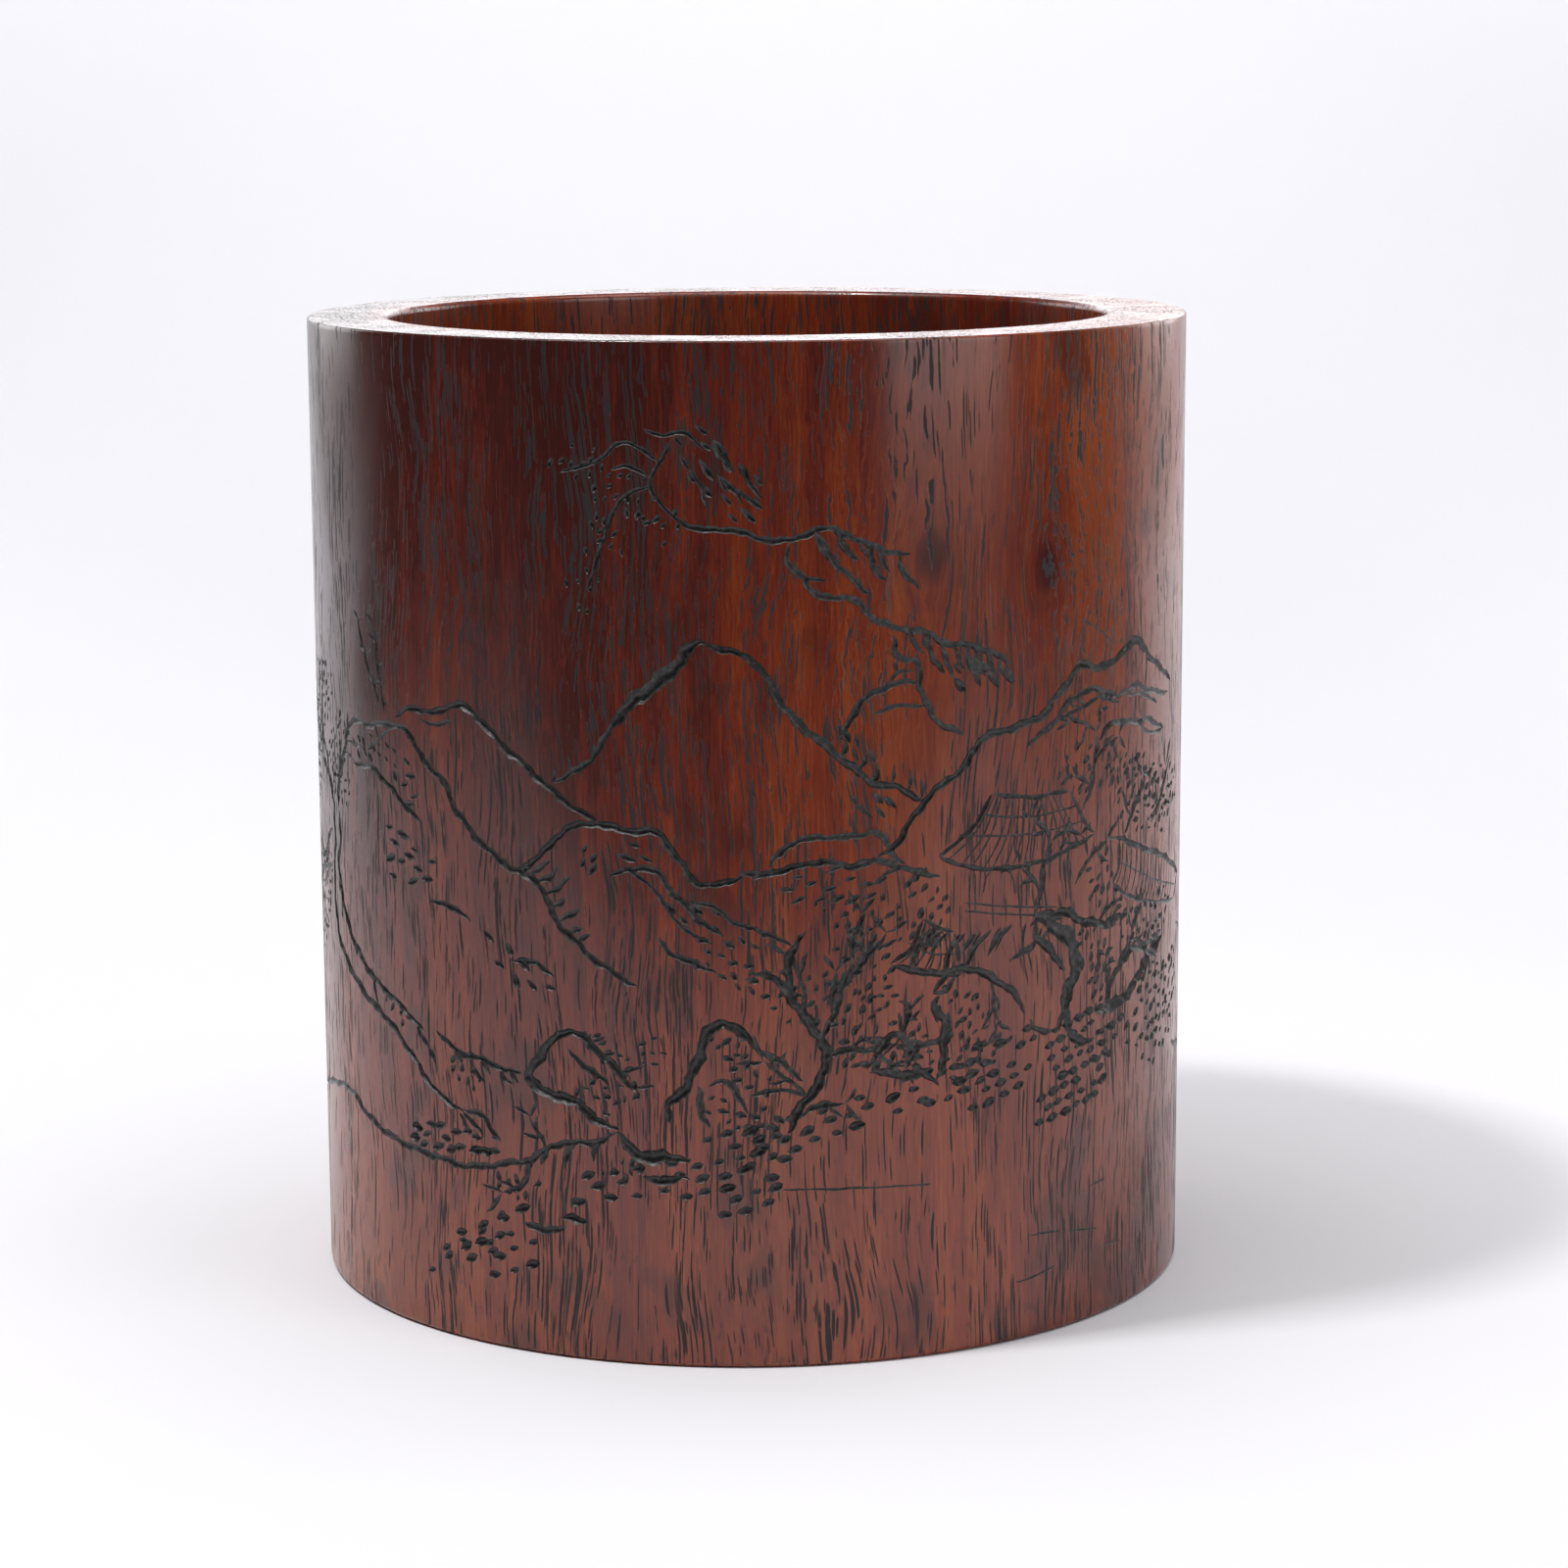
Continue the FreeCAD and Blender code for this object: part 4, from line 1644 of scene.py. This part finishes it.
    def carved_sheet(self, strokes: Sequence[Stroke]) -> bpy.types.Mesh:
        """Draw every cut in a flat sheet.

        Args:
            strokes: The cuts.

        Returns:
            The sheet in metres, with each point's depth, and the faces that are cut marked.
        """
        border, edges = self.lattice()
        spots = [*border, *map(tuple, self.filling(strokes))]
        owners = [-1] * len(spots)
        for number, stroke in enumerate(strokes):
            sides = stroke.edges()
            for row in [*sides, *stroke.bed()]:
                first = len(spots)
                spots += map(tuple, row)
                edges += [(i, i + 1) for i in range(first, first + len(row) - 1)]
            count = sum(len(side) for side in sides)
            owners += [number] * count
            owners += [-1] * (len(spots) - len(owners))
        knots = [Vector(spot) for spot in spots]
        found = delaunay_2d_cdt(knots, edges, [], 0, SAME_SPOT_MM)
        flat = Spots(np.array([tuple(v) for v in found[0]]))
        faces = np.array(found[2])
        owner = np.array([owners[min(sources)] if sources else -1 for sources in found[3]])
        depth = np.zeros(len(flat.places))
        middle = Spots(flat.places[faces].mean(axis=1))
        bed = np.zeros(len(faces))
        for number, stroke in enumerate(strokes):
            stroke.press(flat, depth, owner != number)
            stroke.press(middle, bed)
        inside = bed > CUT_FACE_MM
        made = bpy.data.meshes.new("carved_sheet")
        points = np.column_stack([flat.places * MM, np.zeros(len(depth))])
        made.from_pydata(points.tolist(), [], faces.tolist())
        made.attributes.new("depth", "FLOAT", "POINT").data.foreach_set("value", depth * MM)
        made.attributes.new("cut", "BOOLEAN", "FACE").data.foreach_set("value", inside)
        log.info("carved sheet: %d triangles, %d of them cut", len(faces), inside.sum())
        return made

    def join(
        self,
        outside: bpy.types.Mesh,
        shell: bpy.types.Mesh,
        finishes: Sequence[bpy.types.Material],
    ) -> bpy.types.Mesh:
        """Join the carved outside and the turned shell into one closed mesh.

        Args:
            outside: The bent sheet.
            shell: The turned shell.
            finishes: The wood, and the colour of the cuts.

        Returns:
            The closed mesh, shaded smooth, with crisp edges round the cuts.
        """
        whole = bmesh.new()
        whole.from_mesh(outside)
        carved = len(whole.faces)
        names = [material.name for material in outside.materials]
        for face in whole.faces:
            face.material_index = int(names[face.material_index] == finishes[1].name)
        whole.from_mesh(shell)
        whole.faces.ensure_lookup_table()
        for face in whole.faces[carved:]:
            face.material_index = 0
        tidy(whole)
        for face in whole.faces:
            face.smooth = True
        for edge in whole.edges:
            kinds = {face.material_index for face in edge.link_faces}
            edge.smooth = len(kinds) == 1
        made = bpy.data.meshes.new("pot_side")
        whole.to_mesh(made)
        whole.free()
        for finish in finishes:
            made.materials.append(finish)
        self.true_normals(made)
        return made

    def true_normals(self, made: bpy.types.Mesh) -> None:
        """Give the uncut outside the normals of a true cone, so that it reflects evenly."""
        count = len(made.loops)
        corner = np.zeros(count, np.int32)
        made.loops.foreach_get("vertex_index", corner)
        place = np.zeros(len(made.vertices) * 3)
        made.vertices.foreach_get("co", place)
        place = place.reshape(-1, 3)[corner] / MM
        face_kind = np.zeros(len(made.polygons), np.int32)
        made.polygons.foreach_get("material_index", face_kind)
        size = np.zeros(len(made.polygons), np.int32)
        made.polygons.foreach_get("loop_total", size)
        wood = np.repeat(face_kind, size) == 0
        low, high = self.sheet_span()
        radius = np.hypot(place[:, 0], place[:, 1])
        near = 0.01
        side = np.abs(radius - self.side_radius(place[:, 2])) < near
        side &= (place[:, 2] > low - near) & (place[:, 2] < high + near)
        slope = (self.radius - self.foot_radius) / self.height
        normals = np.column_stack([place[:, 0] / radius, place[:, 1] / radius, np.full(count, -slope)])
        normals /= np.linalg.norm(normals, axis=1, keepdims=True)
        normals[~(side & wood)] = 0.0
        made.normals_split_custom_set(normals.tolist())


@dataclass
class TurnedPart:
    """A flat round part that is turned from a board: the floor disc, or its plug."""

    name: str
    node: str
    slot: str
    finish: Hardwood
    outer: float
    inner: float
    low: float
    high: float
    bevel: float
    segments: int = 144
    rings: int = 6

    def outline(self) -> list[Point]:
        """The part's outline, from its middle at the bottom round to its middle on top."""
        near, inner, outer = self.bevel, self.inner, self.outer
        hole = [(inner, self.high - near), (inner, self.low + near)] if inner else []
        start = inner + near if inner else 0.0
        span = outer - near - start
        flat = [start + span * ring / self.rings for ring in range(self.rings + 1)]
        under = [(radius, self.low) for radius in flat]
        side = [(outer, self.low + near), (outer, self.high - near)]
        over = [(radius, self.high) for radius in reversed(flat)]
        return [*hole, *under, *side, *over, *hole[:1]]

    def build(self, turn: Rule) -> bpy.types.Object:
        """Turn the part.

        Args:
            turn: The lathe.

        Returns:
            The piece.
        """
        wood = self.finish.material()
        profile = mesh_from_outline(f"{self.name}_outline", self.outline())
        made = turn.apply(profile, {"Segments": self.segments, "Wood": wood})
        whole = bmesh.new()
        whole.from_mesh(made)
        tidy(whole)
        crease = math.radians(25.0)
        for face in whole.faces:
            face.smooth = True
        for edge in whole.edges:
            edge.smooth = edge.is_manifold and edge.calc_face_angle() < crease
        whole.to_mesh(made)
        whole.free()
        return piece_of(self.name, made, self.node)


# ----------------------------------------------------------------------- studio


@dataclass(frozen=True)
class Lamp:
    """A soft rectangular light that looks at the pot."""

    name: str
    place: tuple[float, float, float]
    size: Point
    watts: float
    colour: Colour = (1.0, 1.0, 1.0)
    aim: tuple[float, float, float] = (0.0, 0.0, 0.08)
    spread: float = 180.0

    def hang(self) -> None:
        """Hang the light."""
        data = bpy.data.lights.new(self.name, "AREA")
        data.shape = "RECTANGLE"
        data.size, data.size_y = self.size
        data.energy = self.watts
        data.spread = math.radians(self.spread)
        data.color = self.colour
        lamp = bpy.data.objects.new(self.name, data)
        bpy.context.scene.collection.objects.link(lamp)
        lamp.location = self.place
        way = Vector(self.aim) - Vector(self.place)
        lamp.rotation_euler = way.to_track_quat("-Z", "Y").to_euler()
        lamp.visible_camera = False


@dataclass
class Studio:
    """A pale table top and wall, soft lights, and the camera."""

    camera_place: tuple[float, float, float] = (0.01325, -0.71703, 0.20781)
    pitch: float = 9.937
    yaw: float = -0.587
    roll: float = -0.325
    lens: float = 95.6
    room: float = 0.03
    lamps: tuple[Lamp, ...] = field(default_factory=lambda: (
        Lamp("key", (-0.357, -0.215, 1.03), (0.11, 0.11), 5.0, aim=(0.0, 0.0, 0.0)),
        Lamp("overhead", (0.0, -0.12, 1.4), (1.9, 1.1), 14.8, aim=(0.0, -0.12, 0.0)),
        Lamp("wall_wash", (0.0, 1.15, 1.0), (3.0, 0.3), 12.0, aim=(0.0, 1.7, 0.5)),
        Lamp("back", (0.0, 1.2, 0.44), (1.5, 0.3), 0.5, aim=(0.0, 0.0, 0.2), spread=75.0),
        Lamp("left_panel", (-0.85, 0.75, 0.38), (0.6, 0.6), 2.5),
        Lamp("right_panel", (0.85, 0.75, 0.38), (0.6, 0.6), 2.6),
        Lamp("soft_box", (0.622, -0.503, 0.35), (0.46, 0.52), 1.7, aim=(0.0, 0.0, 0.34)),
    ))

    def build(self) -> None:
        """Set up the studio."""
        self.floor()
        self.world()
        for lamp in self.lamps:
            lamp.hang()
        self.camera()
        bpy.context.scene.view_settings.view_transform = "Standard"
        bpy.context.scene.view_settings.look = "None"

    def floor(self) -> None:
        """Lay the white table top with its backdrop, and the pale room that is beyond it."""
        front, back, bend, top = -0.37, 1.7, 0.8, 1.1
        near_half, far_half = 0.62, 2.0
        steps = 32
        arc = [math.radians(90.0 * step / steps) for step in range(steps + 1)]
        rows = [(front, 0.0, near_half), (0.4, 0.0, near_half), (0.45, 0.0, far_half)]
        rows += [(back - bend * (1.0 - math.sin(t)), bend * (1.0 - math.cos(t)), far_half) for t in arc]
        rows += [(back, top, far_half)]
        self.sheet("table_top", rows, self.paper())
        reach, drop = 6.0, 0.004
        room = self.sheet("pale_room", [(-reach, -drop, reach), (reach, -drop, reach)], self.glow())
        room.visible_glossy = False
        room.visible_diffuse = False
        room.visible_shadow = False

    def sheet(
        self,
        name: str,
        rows: Sequence[tuple[float, float, float]],
        finish: bpy.types.Material,
    ) -> bpy.types.Object:
        """Make a sheet.

        Args:
            name: The sheet's name.
            rows: The depth, height and half width of each of its rows, from the front.
            finish: Its material.

        Returns:
            The sheet.
        """
        corners = [(sign * half, y, z) for y, z, half in rows for sign in (-1.0, 1.0)]
        faces = [(2 * i, 2 * i + 1, 2 * i + 3, 2 * i + 2) for i in range(len(rows) - 1)]
        made = bpy.data.meshes.new(name)
        made.from_pydata(corners, [], faces)
        made.materials.append(finish)
        for face in made.polygons:
            face.use_smooth = True
        sheet = bpy.data.objects.new(name, made)
        bpy.context.scene.collection.objects.link(sheet)
        return sheet

    def paper(self) -> bpy.types.Material:
        """Matt white paper."""
        made = bpy.data.materials.new("white_paper")
        made.use_nodes = True
        shader = made.node_tree.nodes["Principled BSDF"]
        shader.inputs["Base Color"].default_value = (0.865, 0.86, 0.9, 1.0)
        shader.inputs["Roughness"].default_value = 0.9
        shader.inputs["Specular IOR Level"].default_value = 0.1
        return made

    def glow(self) -> bpy.types.Material:
        """The even pale tone of a lit room."""
        made = bpy.data.materials.new("pale_room")
        made.use_nodes = True
        made.node_tree.nodes.clear()
        bench = Bench(made.node_tree)
        light = bench.node("ShaderNodeEmission", None, {"Color": (0.88, 0.88, 0.9, 1.0)})
        bench.node("ShaderNodeOutputMaterial", None, {"Surface": light})
        return made

    def world(self) -> None:
        """Keep the rest of the room dim, so that the wood stays deep."""
        world = bpy.data.worlds.new("room")
        bpy.context.scene.world = world
        world.use_nodes = True
        world.node_tree.nodes.clear()
        bench = Bench(world.node_tree)
        shade = (self.room, self.room, self.room, 1.0)
        light = bench.node("ShaderNodeBackground", None, {"Color": shade, "Strength": 1.0})
        bench.node("ShaderNodeOutputWorld", None, {"Surface": light})

    def camera(self) -> None:
        """Stand the camera in front of the pot, a little above its rim."""
        data = bpy.data.cameras.new("camera")
        data.sensor_width = 36.0
        data.lens = self.lens
        data.clip_start, data.clip_end = 0.01, 20.0
        camera = bpy.data.objects.new("camera", data)
        bpy.context.scene.collection.objects.link(camera)
        turn = Matrix.Rotation(math.radians(-self.yaw), 4, "Z")
        turn = turn @ Matrix.Rotation(math.radians(90.0 - self.pitch), 4, "X")
        turn = turn @ Matrix.Rotation(math.radians(self.roll), 4, "Z")
        camera.matrix_world = Matrix.Translation(self.camera_place) @ turn
        bpy.context.scene.camera = camera


# ------------------------------------------------------------------------- main


def mount_size(name: str, key: str) -> float:
    """Read a mount's size from the record.

    Args:
        name: The mount's name.
        key: The size's name.

    Returns:
        The size.
    """
    for mount in frame["record"]["mounts"]:
        if mount["name"] == name:
            return mount["dims"][key]
    raise KeyError(name)


def reach(node: str) -> tuple[float, float, float]:
    """A round node's radius, lowest and highest height, in millimetres."""
    low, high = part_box(node)
    return (high[0] - low[0]) / 2.0 / MM, low[2] / MM, high[2] / MM


def main() -> None:
    """Build the pot, piece by piece, and the studio about it."""
    logging.basicConfig(level=logging.INFO, format="%(name)s: %(message)s")
    rim_radius, _, height = reach("pot_wall")
    disc_radius, disc_low, disc_high = reach("base_disc")
    plug_radius, plug_low, plug_high = reach("centre_plug")
    bend, turn = bending_rule(), turning_rule()
    wall = PotWall(
        radius=rim_radius,
        foot_radius=rim_radius - FOOT_DRAW_MM,
        height=height,
        bore=mount_size("inside", "r_mm"),
        rebate=disc_radius,
        shoulder=disc_high,
    )
    quarter_turn = math.pi / 2.0
    board = Hardwood("floor_hardwood", turn=(0.0, quarter_turn, 0.35), roughness=0.3)
    plug = Hardwood("plug_hardwood", body=(0.06, 0.014, 0.009), turn=(0.0, 0.0, 1.0), roughness=0.32)
    parts = [
        TurnedPart("floor_disc", "base_disc", "floor_board", board,
                   disc_radius, plug_radius, disc_low, disc_high, DISC_BEVEL_MM),
        TurnedPart("pith_plug", "centre_plug", "plug_wood", plug,
                   plug_radius, 0.0, plug_low, plug_high, DISC_BEVEL_MM),
    ]
    built = [wall.build(bend, turn)]
    built += [part.build(turn) for part in parts]
    for piece in built:
        log.info("%s: %d faces", piece.name, len(piece.data.polygons))
    Studio().build()


if __name__ == "__main__":
    main()
